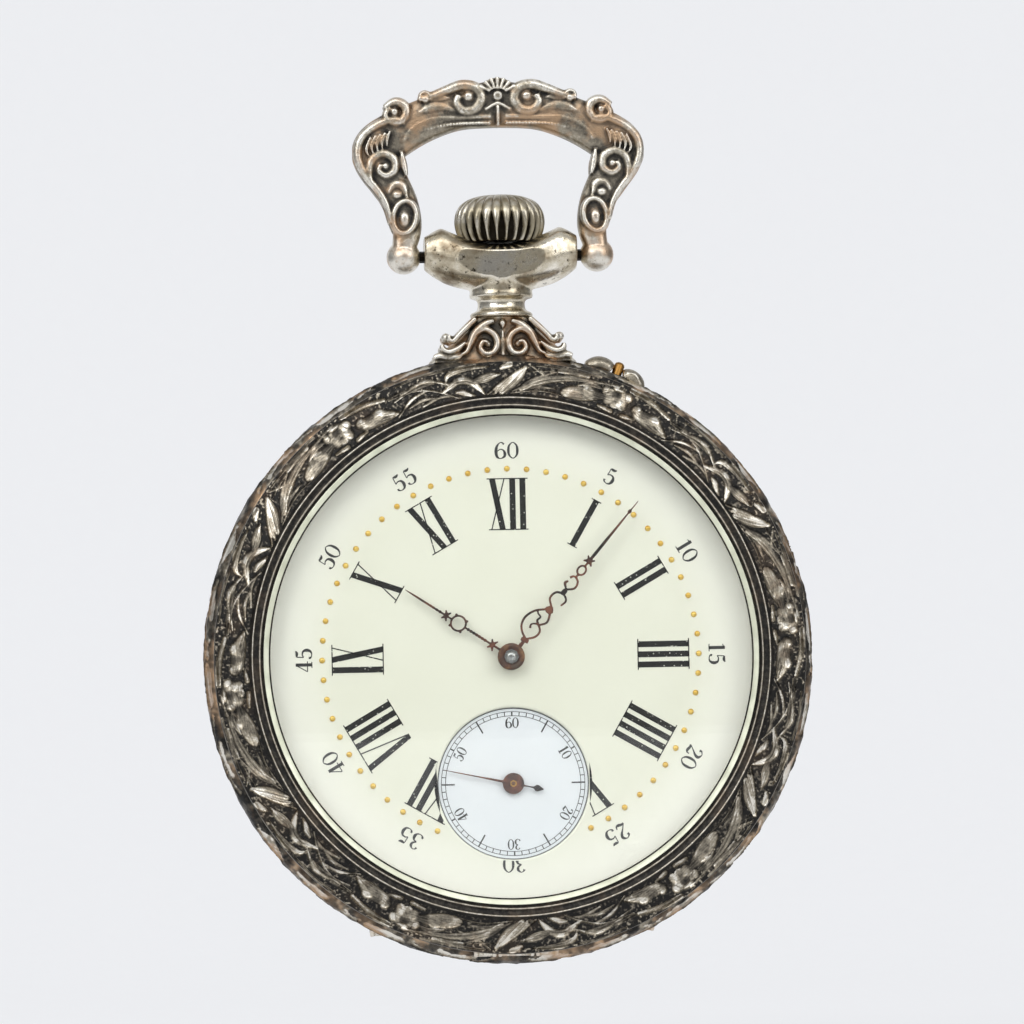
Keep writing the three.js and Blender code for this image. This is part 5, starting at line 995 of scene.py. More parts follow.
# A flat mark on the dial: its outline raised by the thickness of the ink, seen and lit from all sides
def inkMark(outline, bottom, thick):
    outline = np.asarray(outline, dtype=float)
    count = len(outline)
    points = np.vstack((np.column_stack((outline, np.full(count, bottom - 0.01))),
                        np.column_stack((outline, np.full(count, bottom + thick)))))
    faces = [tuple(range(count)), tuple(range(2 * count - 1, count - 1, -1))]
    for k in range(count):
        n = (k + 1) % count
        faces.append((k, n, count + n, count + k))
    return points, faces


def turnBy(points, degrees, shift=(0.0, 0.0)):
    points = np.array(points, dtype=float)
    angle = math.radians(degrees)
    x = points[:, 0] * math.cos(angle) + points[:, 1] * math.sin(angle) + shift[0]
    y = points[:, 1] * math.cos(angle) - points[:, 0] * math.sin(angle) + shift[1]
    points[:, 0], points[:, 1] = x, y
    return points


# A pen stroke whose width swells and thins, along a line of (x, y, width)
def penStroke(line, steps=7, closed=False):
    line = smoothLine(line, steps, closed)
    ahead = np.gradient(line[:, :2], axis=0)
    if closed:
        ahead = (np.roll(line[:, :2], -1, axis=0) - np.roll(line[:, :2], 1, axis=0)) / 2
    ahead /= np.linalg.norm(ahead, axis=1)[:, None] + 1e-9
    side = np.column_stack((-ahead[:, 1], ahead[:, 0])) * line[:, 2:3] / 2
    return line[:, :2] + side, line[:, :2] - side


def strokeMark(line, bottom, thick, closed=False, steps=7):
    left, right = penStroke(line, steps, closed)
    count = len(left)
    low = np.full(count, bottom - 0.01)
    high = np.full(count, bottom + thick)
    points = np.vstack((np.column_stack((left, low)), np.column_stack((right, low)),
                        np.column_stack((right, high)), np.column_stack((left, high))))
    faces = []
    for k in range(count if closed else count - 1):
        n = (k + 1) % count
        for band in range(4):
            other = (band + 1) % 4
            faces.append((band * count + k, other * count + k, other * count + n, band * count + n))
    if not closed:
        faces.append((0, count, 2 * count, 3 * count))
        faces.append((count - 1, 4 * count - 1, 3 * count - 1, 2 * count - 1))
    return points, faces


# Modern-style figures in a box one unit tall; each stroke is a line of (x, y, width)
thin, thick = 0.045, 0.155
figureStrokes = {
    "0": [([(0.02, 0.5, 0.13), (0.07, 0.8, 0.09), (0.26, 0.97, thin), (0.45, 0.8, 0.09), (0.5, 0.5, 0.13),
            (0.45, 0.2, 0.09), (0.26, 0.03, thin), (0.07, 0.2, 0.09)], True)],
    "1": [([(0.25, 0.0, thick), (0.25, 0.5, thick), (0.25, 0.98, thick)], False),
          ([(0.05, 0.03, thin), (0.25, 0.03, thin), (0.45, 0.03, thin)], False),
          ([(0.06, 0.85, thin), (0.16, 0.88, thin), (0.22, 0.97, thin)], False)],
    "2": [([(0.1, 0.74, 0.13), (0.08, 0.86, 0.08), (0.25, 0.98, thin), (0.44, 0.84, 0.14), (0.4, 0.62, 0.12),
            (0.22, 0.38, 0.06), (0.03, 0.1, thin)], False),
          ([(0.03, 0.07, thin), (0.16, 0.12, 0.12), (0.34, 0.07, 0.14), (0.46, 0.1, 0.08),
            (0.5, 0.26, thin)], False)],
    "3": [([(0.09, 0.82, 0.12), (0.14, 0.93, 0.06), (0.27, 0.98, thin), (0.42, 0.84, 0.13), (0.4, 0.66, 0.1),
            (0.24, 0.53, thin)], False),
          ([(0.24, 0.53, thin), (0.42, 0.46, 0.09), (0.47, 0.26, thick), (0.4, 0.08, 0.08),
            (0.22, 0.02, thin), (0.07, 0.1, 0.08), (0.07, 0.2, 0.12)], False)],
    "4": [([(0.36, 0.0, thick), (0.36, 0.5, thick), (0.36, 0.98, thick)], False),
          ([(0.34, 0.96, thin), (0.17, 0.62, thin), (0.0, 0.29, thin)], False),
          ([(0.0, 0.28, thin), (0.25, 0.28, thin), (0.55, 0.28, thin)], False),
          ([(0.2, 0.02, thin), (0.36, 0.02, thin), (0.52, 0.02, thin)], False)],
    "5": [([(0.12, 0.92, thin), (0.11, 0.7, thin), (0.1, 0.5, thin)], False),
          ([(0.12, 0.95, thin), (0.22, 0.91, 0.12), (0.34, 0.91, 0.12), (0.44, 0.98, thin)], False),
          ([(0.1, 0.5, thin), (0.24, 0.58, 0.06), (0.42, 0.52, 0.1), (0.48, 0.3, thick), (0.4, 0.08, 0.1),
            (0.22, 0.02, thin), (0.07, 0.1, 0.08), (0.07, 0.2, 0.12)], False)],
    "6": [([(0.44, 0.86, 0.1), (0.36, 0.96, 0.06), (0.22, 0.95, thin), (0.06, 0.72, 0.12), (0.02, 0.4, thick),
            (0.08, 0.12, 0.12), (0.26, 0.02, thin), (0.46, 0.14, 0.12), (0.49, 0.32, 0.14), (0.42, 0.5, 0.08),
            (0.26, 0.57, thin), (0.1, 0.46, thin)], False)],
}
figureWide = {"1": 0.42}


def writeFigures(text, tall, centre, degrees, bottom, ink, fat=1.2, squeeze=1.12):
    parts = []
    widths = [figureWide.get(c, 0.5) + 0.16 for c in text]
    x = -sum(widths) / 2 + 0.08
    for character, width in zip(text, widths):
        for line, closed in figureStrokes[character]:
            placed = [((x + px) * tall * squeeze, (py - 0.5) * tall, pw * tall * fat) for px, py, pw in line]
            points, faces = strokeMark(placed, bottom, ink, closed)
            parts.append((turnBy(points, degrees, centre), faces))
        x += width
    return parts


# Roman hours: thick and hair strokes with fine serifs, feet towards the centre. None stands at 6
romanHours = ["XII", "I", "II", "III", "IIII", "V", None, "VII", "VIII", "IX", "X", "XI"]
romanShapes = {  # each stroke: (foot from, foot to, head from, head to), then how far the next one stands
    "I": ([(0.0, 0.5, 0.0, 0.5)], 0.86),
    "V": ([(0.66, 1.1, 0.0, 0.5), (0.98, 1.08, 1.64, 1.74)], 2.1),
    "X": ([(0.86, 1.36, 0.0, 0.5), (0.1, 0.2, 1.24, 1.34)], 1.72),
}


def romanStrokes(text):
    size = dialSize
    low, high = size["hours"]
    serif, reach = size["serif"], size["serifReach"]
    shapes, feet, heads = [], [], []
    x = 0.0
    for character in text:
        strokes, advance = romanShapes[character]
        for footFrom, footTo, headFrom, headTo in strokes:
            shapes.append([(x + footFrom, low), (x + footTo, low), (x + headTo, high), (x + headFrom, high)])
            heads.append((x + headFrom, x + headTo))
            if character != "V":
                feet.append((x + footFrom, x + footTo))
        x += advance
    # one hair line joins the strokes at the head, and one those that reach the foot
    for row, y in ((heads, high - serif), (feet, low)):
        if row:
            start = min(pair[0] for pair in row) - reach
            end = max(pair[1] for pair in row) + reach
            shapes.append([(start, y), (end, y), (end, y + serif), (start, y + serif)])
    half = (min(pair[0] for pair in heads) + max(pair[1] for pair in heads)) / 2
    return [[(px - half, py) for px, py in shape] for shape in shapes]


# Keeps the part of a flat outline that lies outside the sunk seconds dial
def outsideSunk(outline, radius):
    dense = []
    count = len(outline)
    for k in range(count):
        a, b = np.array(outline[k]), np.array(outline[(k + 1) % count])
        for t in np.linspace(0, 1, 40, endpoint=False):
            dense.append(a + (b - a) * t)
    dense = np.array(dense)
    away = np.hypot(dense[:, 0], dense[:, 1] - secondsAt)
    if away.min() >= radius:
        return outline
    if away.max() <= radius:
        return None
    close = away < radius
    scale = radius / np.maximum(away, 1e-6)
    dense[close, 0] = dense[close, 0] * scale[close]
    dense[close, 1] = secondsAt + (dense[close, 1] - secondsAt) * scale[close]
    return dense


def makeDial():
    size = dialSize
    back, front = dialLow[2], dialHigh[2]
    rim, edge = size["radius"], size["radius"] - size["edge"]
    angles = np.linspace(0, 2 * math.pi, size["rows"], endpoint=False)
    hole = [(size["sunk"], back), (size["sunk"], front - 0.12), (size["sunk"] + 0.06, front - 0.03)]
    rings = [circle(radius, z, angles, secondsAt) for radius, z in hole]
    inner, outer = rings[-1], circle(edge, front, angles)
    for t in (0.01, 0.02, 0.5, 0.98, 0.99):
        ring = inner + (outer - inner) * t
        ring[:, 2] = front
        rings.append(ring)
    for radius, z in ((edge, front - 0.02), (rim - 0.08, front - 0.08), (rim, front - 0.25),
                      (rim, back + 0.1), (rim - 0.1, back)):
        rings.append(circle(radius, z, angles))
    grid = np.stack(rings, axis=1)
    faces = gridFaces(len(angles), len(rings))
    makePiece("dialPlate", grid.reshape(-1, 3), faces, ivoryEnamel, "case", ["dial"])

    bold, pale, gold = [], [], []
    for hour, text in enumerate(romanHours):
        if text is None:
            continue
        for shape in romanStrokes(text):
            shape = turnBy([(x, y, 0) for x, y in shape], hour * 30)[:, :2]
            kept = outsideSunk(shape, size["sunk"] + size["hoursClear"])
            if kept is not None:
                bold.append(inkMark(kept, front, size["ink"]))
    for minute in range(60):
        x, y = polar(size["drops"], minute * 6)
        if math.hypot(x, y - secondsAt) >= size["sunk"] + 0.45:
            gold.append(ball((x, y, front), (size["dropRadius"], size["dropRadius"], size["dropRise"]), 16))
    for five in range(12):
        angle, clear = five * 30, size["sunk"] + 0.1
        centre = polar(size["minuteRing"], angle)
        for points, faces in writeFigures(str(five * 5 or 60), size["minuteTall"], centre, angle, front,
                                          size["ink"]):
            # a figure that would reach over the sunk dial is pushed back to its edge
            away = np.hypot(points[:, 0], points[:, 1] - secondsAt)
            scale = np.where(away < clear, clear / np.maximum(away, 1e-6), 1.0)
            points[:, 0] *= scale
            points[:, 1] = secondsAt + (points[:, 1] - secondsAt) * scale
            pale.append((points, faces))
    for name, parts, finish, smooth in (("hourFigures", bold, blackFigures, False),
                                        ("minuteFigures", pale, greyFigures, False),
                                        ("goldDrops", gold, goldDrops, True)):
        points, faces = joined(parts)
        makePiece(name, points, faces, finish, "case", smooth=smooth)


# Seconds dial: white, sunk, with a railway track, long marks and small figures
def makeSecondsDial():
    size = dialSize
    low, high = boxOf("seconds_dial")
    back, front = low[2] + 0.05, high[2]
    plate = [(0, front), (0.8, front), (3.0, front), (6.2, front), (6.4, front - 0.03), (6.4, back),
             (0.8, back), (0, back)]
    points, faces = turnedSolid(plate, 160, (0, secondsAt))
    sharpen(makePiece("secondsPlate", points, faces, whiteEnamel, "case", ["seconds_dial"]))
    marks = []
    inner, outer = size["secondsTrack"]
    for radius in (inner, outer, size["secondsEdge"]):
        line = [(radius, front - 0.005), (radius + 0.05, front - 0.005), (radius + 0.05, front + 0.02),
                (radius, front + 0.02)]
        marks.append(turnedRing(line, 180, centre=(0, secondsAt)))
    for second in range(60):
        half = 0.035 if second % 5 else 0.06
        start = size["fiveMark"] if second % 10 == 5 else inner
        tick = [(-half, start, 0), (half, start, 0), (half, outer, 0), (-half, outer, 0)]
        marks.append(inkMark(turnBy(tick, second * 6, (0, secondsAt))[:, :2], front, size["secondsInk"]))
    for ten in range(6):
        angle = ten * 60
        centre = polar(size["secondsRing"], angle, secondsAt)
        marks += writeFigures(str(ten * 10 or 60), size["secondsTall"], centre, angle, front,
                              size["secondsInk"], 1.1, 0.95)
    points, faces = joined(marks)
    makePiece("secondsFigures", points, faces, greyFigures, "case", smooth=False)


makeDial()
makeSecondsDial()
print("dials made")

# Hands: pierced and filed from thin steel. Lines run outward from the hub: (out, to the right, half width)
handLook = {
    "minuteTurn": 40.4, "hourTurn": 303.4, "secondsTurn": 282.0, "grain": 0.042,
    "depth": 0.12, "secondsDepth": 0.075, "hourEye": (5.27, 0.64), "minuteEye": (9.4, 0.34),
}
minuteWires = [
    [(0.6, 0.0, 0.2), (1.3, 0.0, 0.17), (1.95, 0.0, 0.15)],
    [(1.7, -0.34, 0.17), (1.78, 0.0, 0.16), (1.82, 0.34, 0.17)],
    [(1.95, -0.1, 0.1), (2.2, -0.62, 0.1), (2.7, -1.08, 0.1), (3.45, -1.2, 0.11), (4.3, -0.88, 0.1),
     (5.0, -0.2, 0.1)],
    [(1.95, 0.05, 0.1), (2.55, 0.5, 0.1), (3.15, 0.52, 0.1), (3.5, 0.02, 0.09), (3.2, -0.42, 0.08),
     (2.85, -0.3, 0.12)],
    [(3.55, 0.15, 0.09), (4.1, 0.5, 0.1), (4.7, 0.32, 0.11), (5.0, 0.1, 0.12)],
    [(3.6, 0.0, 0.08), (3.75, -0.25, 0.1), (4.15, -0.2, 0.08), (4.25, -0.55, 0.08), (4.5, -0.8, 0.08)],
    [(4.75, 0.0, 0.16), (5.05, 0.0, 0.4), (5.45, 0.0, 0.14)],
    [(5.4, -0.05, 0.1), (5.9, -0.6, 0.1), (6.6, -0.5, 0.11), (6.85, 0.1, 0.1), (6.55, 0.6, 0.1),
     (5.95, 0.52, 0.08)],
    [(6.75, -0.1, 0.12), (7.1, 0.0, 0.24), (7.4, 0.0, 0.1)],
    [(7.3, 0.0, 0.1), (7.85, 0.5, 0.1), (8.45, 0.35, 0.1), (8.62, -0.15, 0.09), (8.3, -0.38, 0.12)],
    [(7.4, -0.1, 0.09), (7.7, -0.42, 0.13), (8.0, -0.3, 0.09)],
    [(8.6, 0.0, 0.1), (9.0, 0.0, 0.1)],
    [(9.85, 0.0, 0.09), (10.4, 0.0, 0.12), (11.2, 0.0, 0.15), (13.4, 0.0, 0.12), (15.7, 0.0, 0.07),
     (17.0, 0.0, 0.035)],
    [(10.15, -0.42, 0.07), (10.42, 0.0, 0.16), (10.15, 0.42, 0.07)],
    [(10.75, -0.38, 0.06), (10.45, 0.0, 0.14), (10.75, 0.38, 0.06)],
]
hourWires = [
    [(0.6, 0.0, 0.14), (1.4, 0.0, 0.1), (4.6, 0.0, 0.08)],
    [(1.6, -0.48, 0.06), (1.85, 0.0, 0.14), (1.6, 0.48, 0.06)],
    [(2.15, -0.42, 0.06), (1.9, 0.0, 0.14), (2.15, 0.42, 0.06)],
    [(5.9, 0.0, 0.08), (7.5, 0.0, 0.09), (9.4, 0.0, 0.1), (10.6, 0.0, 0.03)],
    [(6.25, -0.42, 0.06), (6.48, 0.0, 0.14), (6.25, 0.42, 0.06)],
    [(6.75, -0.4, 0.06), (6.5, 0.0, 0.14), (6.75, 0.4, 0.06)],
]
secondsWires = [
    [(-1.0, 0.0, 0.09), (0.0, 0.0, 0.14), (3.0, 0.0, 0.07), (5.95, 0.0, 0.035)],
    [(-1.0, 0.0, 0.07), (-1.7, 0.0, 0.09), (-2.05, 0.0, 0.3), (-2.6, 0.0, 0.05)],
]


def eyelet(eye, wire, depth, stretch=1.0):
    out, radius = eye
    line = []
    for k in range(25):
        angle = 2 * math.pi * k / 24
        line.append((radius * math.sin(angle), out + stretch * radius * math.cos(angle), 0.0, wire, depth))
    return bar(line)


def handParts(wires, depth):
    return [smoothBar([(right, out, 0.0, half, depth) for out, right, half in wire], 5, 8) for wire in wires]


def placeHand(name, parts, node, body, degrees, material, centreY=0.0):
    low, high = boxOf(node)
    depth = (high[2] - low[2]) / 2
    points, faces, normals, edges = cast(parts, handLook["grain"], 2)
    points[:, 2] = np.clip(points[:, 2], -depth, depth) + (low[2] + high[2]) / 2
    points = turnBy(points, degrees, (0.0, centreY))
    makePiece(name, points, faces, material, body, [node])


def makeHands():
    look = handLook
    depth = look["depth"]
    parts = handParts(minuteWires, depth) + [eyelet(look["minuteEye"], 0.09, depth, 1.25)]
    parts += [ball((0.0, 15.85, 0.0), (0.17, 0.2, depth)), ball((0.0, 0.0, 0.0), (1.08, 1.08, 0.16), 28)]
    placeHand("minuteHand", parts, "minute_hand", "minute", look["minuteTurn"], rustedHands)
    parts = handParts(hourWires, depth) + [eyelet(look["hourEye"], 0.09, depth)]
    # beads along the stem, the point and round the eye
    for k in range(7):
        parts.append(ball((0.0, 2.6 + 0.28 * k, 0.0), (0.16, 0.13, depth), 10))
    for k in range(8):
        parts.append(ball((0.0, 7.1 + 0.32 * k, 0.0), (0.15 - 0.008 * k, 0.13, depth), 10))
    for angle in (45, 135, 225, 315):
        x, y = polar(look["hourEye"][1] + 0.12, angle, look["hourEye"][0])
        parts.append(ball((x, y, 0.0), (0.12, 0.12, depth), 10))
    parts.append(ball((0.0, 0.0, 0.0), (1.15, 1.15, 0.14), 28))
    placeHand("hourHand", parts, "hour_hand", "hour", look["hourTurn"], rustedHands)
    parts = handParts(secondsWires, look["secondsDepth"]) + [ball((0.0, 0.0, 0.0), (0.92, 0.92, 0.09), 28)]
    placeHand("secondsHand", parts, "seconds_hand", "seconds", look["secondsTurn"], rustedHands, secondsAt)
    # the collets that hold the hands: a turned cup with a domed steel end in it
    low, high = boxOf("minute_hand")
    under, top = low[2], high[2]
    cup = [(0, top - 0.06), (0.5, top - 0.06), (0.66, top - 0.04), (0.78, top + 0.08), (0.98, top + 0.1),
           (1.12, top), (1.14, under + 0.05), (1.0, under - 0.02), (0, under - 0.02)]
    points, faces = turnedSolid(cup, 64)
    sharpen(makePiece("minuteCollet", points, faces, hubSteel, "minute"), 50)
    tip = boxOf("cannon_pinion")[1][2]
    end = [(0, tip + 0.14), (0.2, tip + 0.12), (0.42, tip + 0.02), (0.52, top - 0.06), (0.52, top - 0.1),
           (0, top - 0.1)]
    points, faces = turnedSolid(end, 48)
    makePiece("arborEnd", points, faces, steel, "minute")
    top = boxOf("seconds_hand")[1][2]
    pip = [(0, top + 0.12), (0.12, top + 0.1), (0.24, top + 0.02), (0.34, top - 0.02), (0.34, top - 0.05),
           (0, top - 0.05)]
    points, faces = turnedSolid(pip, 32, (0, secondsAt))
    makePiece("secondsPip", points, faces, hubSteel, "seconds")


makeHands()
print("hands made")

# Bow: one casting of a thick bar with scrolls, leaves and beads on both faces
bowLow, bowHigh = boxOf("bow")
bowShape = {
    "halfDepth": bowHigh[2] - 0.02, "body": 0.98, "bodyDepth": 0.84, "grain": 0.085, "wire": 1.55,
    "rise": bowHigh[1] - 2.3 - bowPivot, "half": 10.5, "scrollDepth": 0.5, "square": 0.66,
    "endAt": 8.27, "endRadius": 1.46, "gap": 6.62, "gapTop": 2.2, "endTone": 0.68,
}
bowLine = [  # right half from the top to the pivot: (x share, y share, half width in mm)
    (0.0, 1.0, 2.1), (0.333, 0.965, 1.85), (0.62, 0.89, 1.9), (0.876, 0.785, 2.1), (0.99, 0.705, 2.15),
    (0.98, 0.62, 2.0), (0.89, 0.486, 1.72), (0.79, 0.337, 1.45), (0.755, 0.188, 1.28), (0.788, 0.04, 1.0),
]


def bowScrolls():
    deep = bowShape["scrollDepth"]
    level = bowShape["halfDepth"] - deep
    parts = []

    def wire(points, depth=deep, at=level):
        fat = bowShape["wire"]
        parts.append(smoothBar([(x, bowPivot + y, at, fat * w, depth) for x, y, w in points], 6, 12))

    def bead(x, y, rx, ry, depth=0.5, at=level):
        parts.append(ball((x, bowPivot + y, at), (rx, ry, depth), 18))

    # large scroll beside the crest, its stem running out along the top edge to a small curl
    wire([(6.75, 13.45, 0.2), (5.5, 13.75, 0.26), (4.3, 14.2, 0.3), (3.0, 14.6, 0.33), (1.8, 14.3, 0.36),
          (1.42, 13.4, 0.36), (2.0, 12.55, 0.36), (2.95, 12.45, 0.34), (3.5, 13.1, 0.3), (3.3, 13.75, 0.24)])
    bead(2.5, 13.65, 0.52, 0.5, 0.55)
    parts.extend(volute((6.3, bowPivot + 13.6), 200, -0.9, 0.55, 0.22, 0.26, level, deep))
    # pointed leaf under the stem, with a vein
    wire([(3.6, 12.4, 0.08), (4.6, 12.75, 0.3), (5.7, 12.75, 0.42), (6.7, 12.35, 0.1)], 0.34)
    wire([(4.2, 13.55, 0.06), (5.0, 13.5, 0.24), (6.0, 13.3, 0.08)], 0.34)
    # second scroll on the corner, opening into the raised outer rim of the shoulder
    wire([(9.25, 12.75, 0.2), (9.6, 12.15, 0.22), (9.25, 11.6, 0.24), (8.4, 11.55, 0.28), (7.85, 12.2, 0.3),
          (8.0, 12.95, 0.3), (8.8, 13.25, 0.28), (9.7, 12.75, 0.2)])
    bead(8.85, 12.4, 0.4, 0.4, 0.58)
    wire([(8.0, 11.6, 0.26), (9.2, 11.7, 0.27), (10.6, 11.15, 0.28), (11.7, 10.15, 0.28), (12.05, 9.0, 0.27),
          (11.85, 7.9, 0.26), (11.2, 6.75, 0.24), (10.3, 5.6, 0.22), (9.65, 4.4, 0.2), (9.3, 3.0, 0.16)])
    # gadroons on the shoulder's bulge
    bead(10.1, 10.05, 1.2, 0.95, 0.52, level - 0.06)
    for k in range(5):
        wire([(9.25 + 0.42 * k, 10.75 - 0.13 * k, 0.07), (9.5 + 0.45 * k, 10.1 - 0.22 * k, 0.11),
              (9.55 + 0.4 * k, 9.45 - 0.2 * k, 0.05)], 0.42, level + 0.18)
    # scroll on the leg
    wire([(10.9, 6.2, 0.16), (11.1, 7.4, 0.26), (10.75, 8.45, 0.3), (9.85, 8.85, 0.3), (9.0, 8.35, 0.3),
          (8.95, 7.4, 0.28), (9.65, 6.95, 0.25), (10.25, 7.35, 0.22), (10.1, 7.9, 0.18)])
    bead(9.7, 7.75, 0.36, 0.36, 0.55)
    # leaf that folds over below the scroll
    wire([(7.9, 5.0, 0.12), (8.3, 6.0, 0.3), (8.95, 6.15, 0.28), (9.5, 5.5, 0.12)], 0.4)
    wire([(7.9, 6.9, 0.1), (8.15, 7.9, 0.22), (8.3, 9.0, 0.1)], 0.34)
    bead(8.75, 5.3, 0.5, 0.42, 0.5)
    # oval stone in its loop
    ring = []
    for k in range(27):
        angle = 2 * math.pi * k / 26 + 1.2
        x = 8.15 + 0.98 * math.cos(angle) - 0.12 * math.sin(angle)
        ring.append((x, 3.35 + 1.38 * math.sin(angle), 0.21))
    wire(ring)
    bead(8.15, 3.2, 0.52, 0.78, 0.56)
    # rope along the inner edge, and the ribs between it and the scrolls
    for k in range(26):
        t = k / 25
        x = 0.75 + 6.9 * t
        y = 11.35 - 0.02 * t - 0.95 * t ** 3
        bead(x, y, 0.13, 0.13, 0.26, level + 0.02)
    wire([(0.7, 11.9, 0.1), (3.0, 11.85, 0.16), (5.6, 11.75, 0.16), (7.3, 11.0, 0.14), (8.1, 9.9, 0.1)], 0.3)
    return parts


def makeBow():
    size = bowShape
    right = smoothLine([(x * size["half"], bowPivot + y * size["rise"], 0.0, half * size["body"])
                        for x, y, half in bowLine], 8)
    line = np.vstack((right[::-1] * np.array([-1, 1, 1, 1]), right[1:]))
    depth = np.full((len(line), 1), size["halfDepth"] * size["bodyDepth"])
    parts = [bar(np.hstack((line, depth)), 28, size["square"])]
    ornament = mirrored(bowScrolls(), 0)
    # crest: a ribbed shell with a bead under it
    level = size["halfDepth"] - 0.42
    crest = [ball((0, bowPivot + 13.65, level), (0.5, 0.48, 0.6), 20)]
    for k in range(-3, 4):
        angle = math.radians(19 * k)
        start = (0.75 * math.sin(angle), bowPivot + 13.75 + 0.5 * math.cos(angle))
        tip = (1.7 * math.sin(angle), bowPivot + 13.6 + 1.62 * math.cos(angle))
        crest.append(smoothBar([(*start, level, 0.12, 0.4), (*tip, level - 0.1, 0.24, 0.5)], 5))
    crest.append(smoothBar([(-1.05, bowPivot + 12.5, level, 0.12, 0.36),
                            (0, bowPivot + 13.0, level, 0.16, 0.4),
                            (1.05, bowPivot + 12.5, level, 0.12, 0.36)]))
    crest.append(smoothBar([(0, bowPivot + 12.75, level, 0.16, 0.4), (0, bowPivot + 11.7, level, 0.22, 0.34),
                            (0, bowPivot + 11.1, level, 0.1, 0.3)]))
    parts += mirrored(ornament + crest, 2)
    parts.append(ball((0, bowPivot + 14.0, 0), (1.75, 1.32, 1.1), 24))
    for side in (-1, 1):
        parts.append(ball((side * size["endAt"], bowPivot, 0), size["endRadius"], 28))
        neck = [(side * 8.2, bowPivot + 1.1, 0, 0.95, 1.0), (side * 8.15, bowPivot + 1.6, 0, 1.0, 1.0)]
        parts.append(bar(neck, 16))
    points, faces, normals, edges = cast(parts, size["grain"], 4)
    points = np.clip(points, bowLow, bowHigh)
    # the balls are turned flat where they face the pendant, and smooth without any black
    gapTop = bowPivot + size["gapTop"]
    close = (points[:, 1] < gapTop) & (np.abs(points[:, 0]) < size["gap"])
    points[close, 0] = np.sign(points[close, 0]) * size["gap"]
    relief = standOut(points, normals, edges, 22, 0.17, 0.42)
    share = np.clip((gapTop - points[:, 1]) / 1.2, 0, 1)
    relief = relief * (1 - share) + size["endTone"] * share
    makePiece("bowCasting", points, faces, bowSilver, "bow", ["bow"], relief)


makeBow()
print("bow made")

# Pendant: a smooth saddle between the bow's ends, on a turned collar and neck
pendantShape = {
    "grain": 0.11, "footGrain": 0.09, "heart": 34.6, "scrollFat": 1.22, "scrollAt": 1.48,
    "neck": [(0, 28.6), (2.3, 28.6), (2.3, 28.95), (2.62, 29.05), (2.7, 29.3), (2.58, 29.5), (2.3, 29.6),
             (2.06, 29.8), (2.0, 30.2), (2.05, 30.55), (2.3, 30.7), (2.66, 30.78), (2.72, 31.0), (2.66, 31.3),
             (2.72, 31.9), (3.1, 32.6), (0, 32.6)],
}
saddleSections = [  # right half: (x, top, bottom, half depth)
    (0.0, 35.42, 31.3, 3.2), (1.4, 35.48, 31.32, 3.18), (2.6, 35.75, 31.5, 3.1), (3.9, 36.3, 31.8, 2.84),
    (4.8, 36.72, 32.12, 2.6), (5.15, 36.78, 32.32, 2.5), (5.7, 36.55, 32.65, 2.3), (6.3, 36.2, 33.1, 2.05),
    (6.5, 36.08, 33.3, 1.95), (6.53, 35.98, 33.4, 1.85),
]


def makePendant():
    low, high = boxOf("pendant")
    half = smoothLine(saddleSections, 6)
    half = half[half[:, 0] <= high[0]]
    rows = np.vstack((half[::-1] * np.array([-1, 1, 1, 1]), half[1:]))
    sides = 72
    turns = np.linspace(0, 2 * math.pi, sides, endpoint=False)
    upper = np.sin(turns) > 0
    points = []
    for x, top, bottom, depth in rows:
        # square shouldered above, round below
        y = (top + bottom) / 2 + (top - bottom) / 2 * squared(np.sin(turns), np.where(upper, 0.62, 0.95))
        z = depth * squared(np.cos(turns), np.where(upper, 0.8, 1.0))
        points.append(np.column_stack((np.full(sides, x), y, z)))
    ends = [(rows[end][0], pendantShape["heart"], 0) for end in (0, -1)]
    saddle = (np.vstack(points + [ends]), loftFaces(len(rows), sides))
    lathe, latheFaces = turnedSolid(pendantShape["neck"], 72)
    neck = (lathe[:, [0, 2, 1]], latheFaces)
    shaped, shapedFaces, normals, edges = cast([saddle, neck], pendantShape["grain"], 2)
    shaped = np.clip(shaped, low, high)
    rim = standOut(shaped, normals, edges, 12, 0.25, 0.75)
    makePiece("pendantSaddle", shaped, shapedFaces, saddleSilver, "case", ["pendant"], rim)


makePendant()


# Foot of the pendant: a flared root with volutes, straps and a drop, on the case's edge
footSections = [  # (height, half width, half depth)
    (24.75, 6.4, 1.5), (25.3, 6.3, 1.5), (25.75, 5.8, 1.48), (26.6, 4.7, 1.42), (27.5, 3.7, 1.4),
    (28.4, 2.8, 1.4), (29.1, 2.4, 1.45),
]


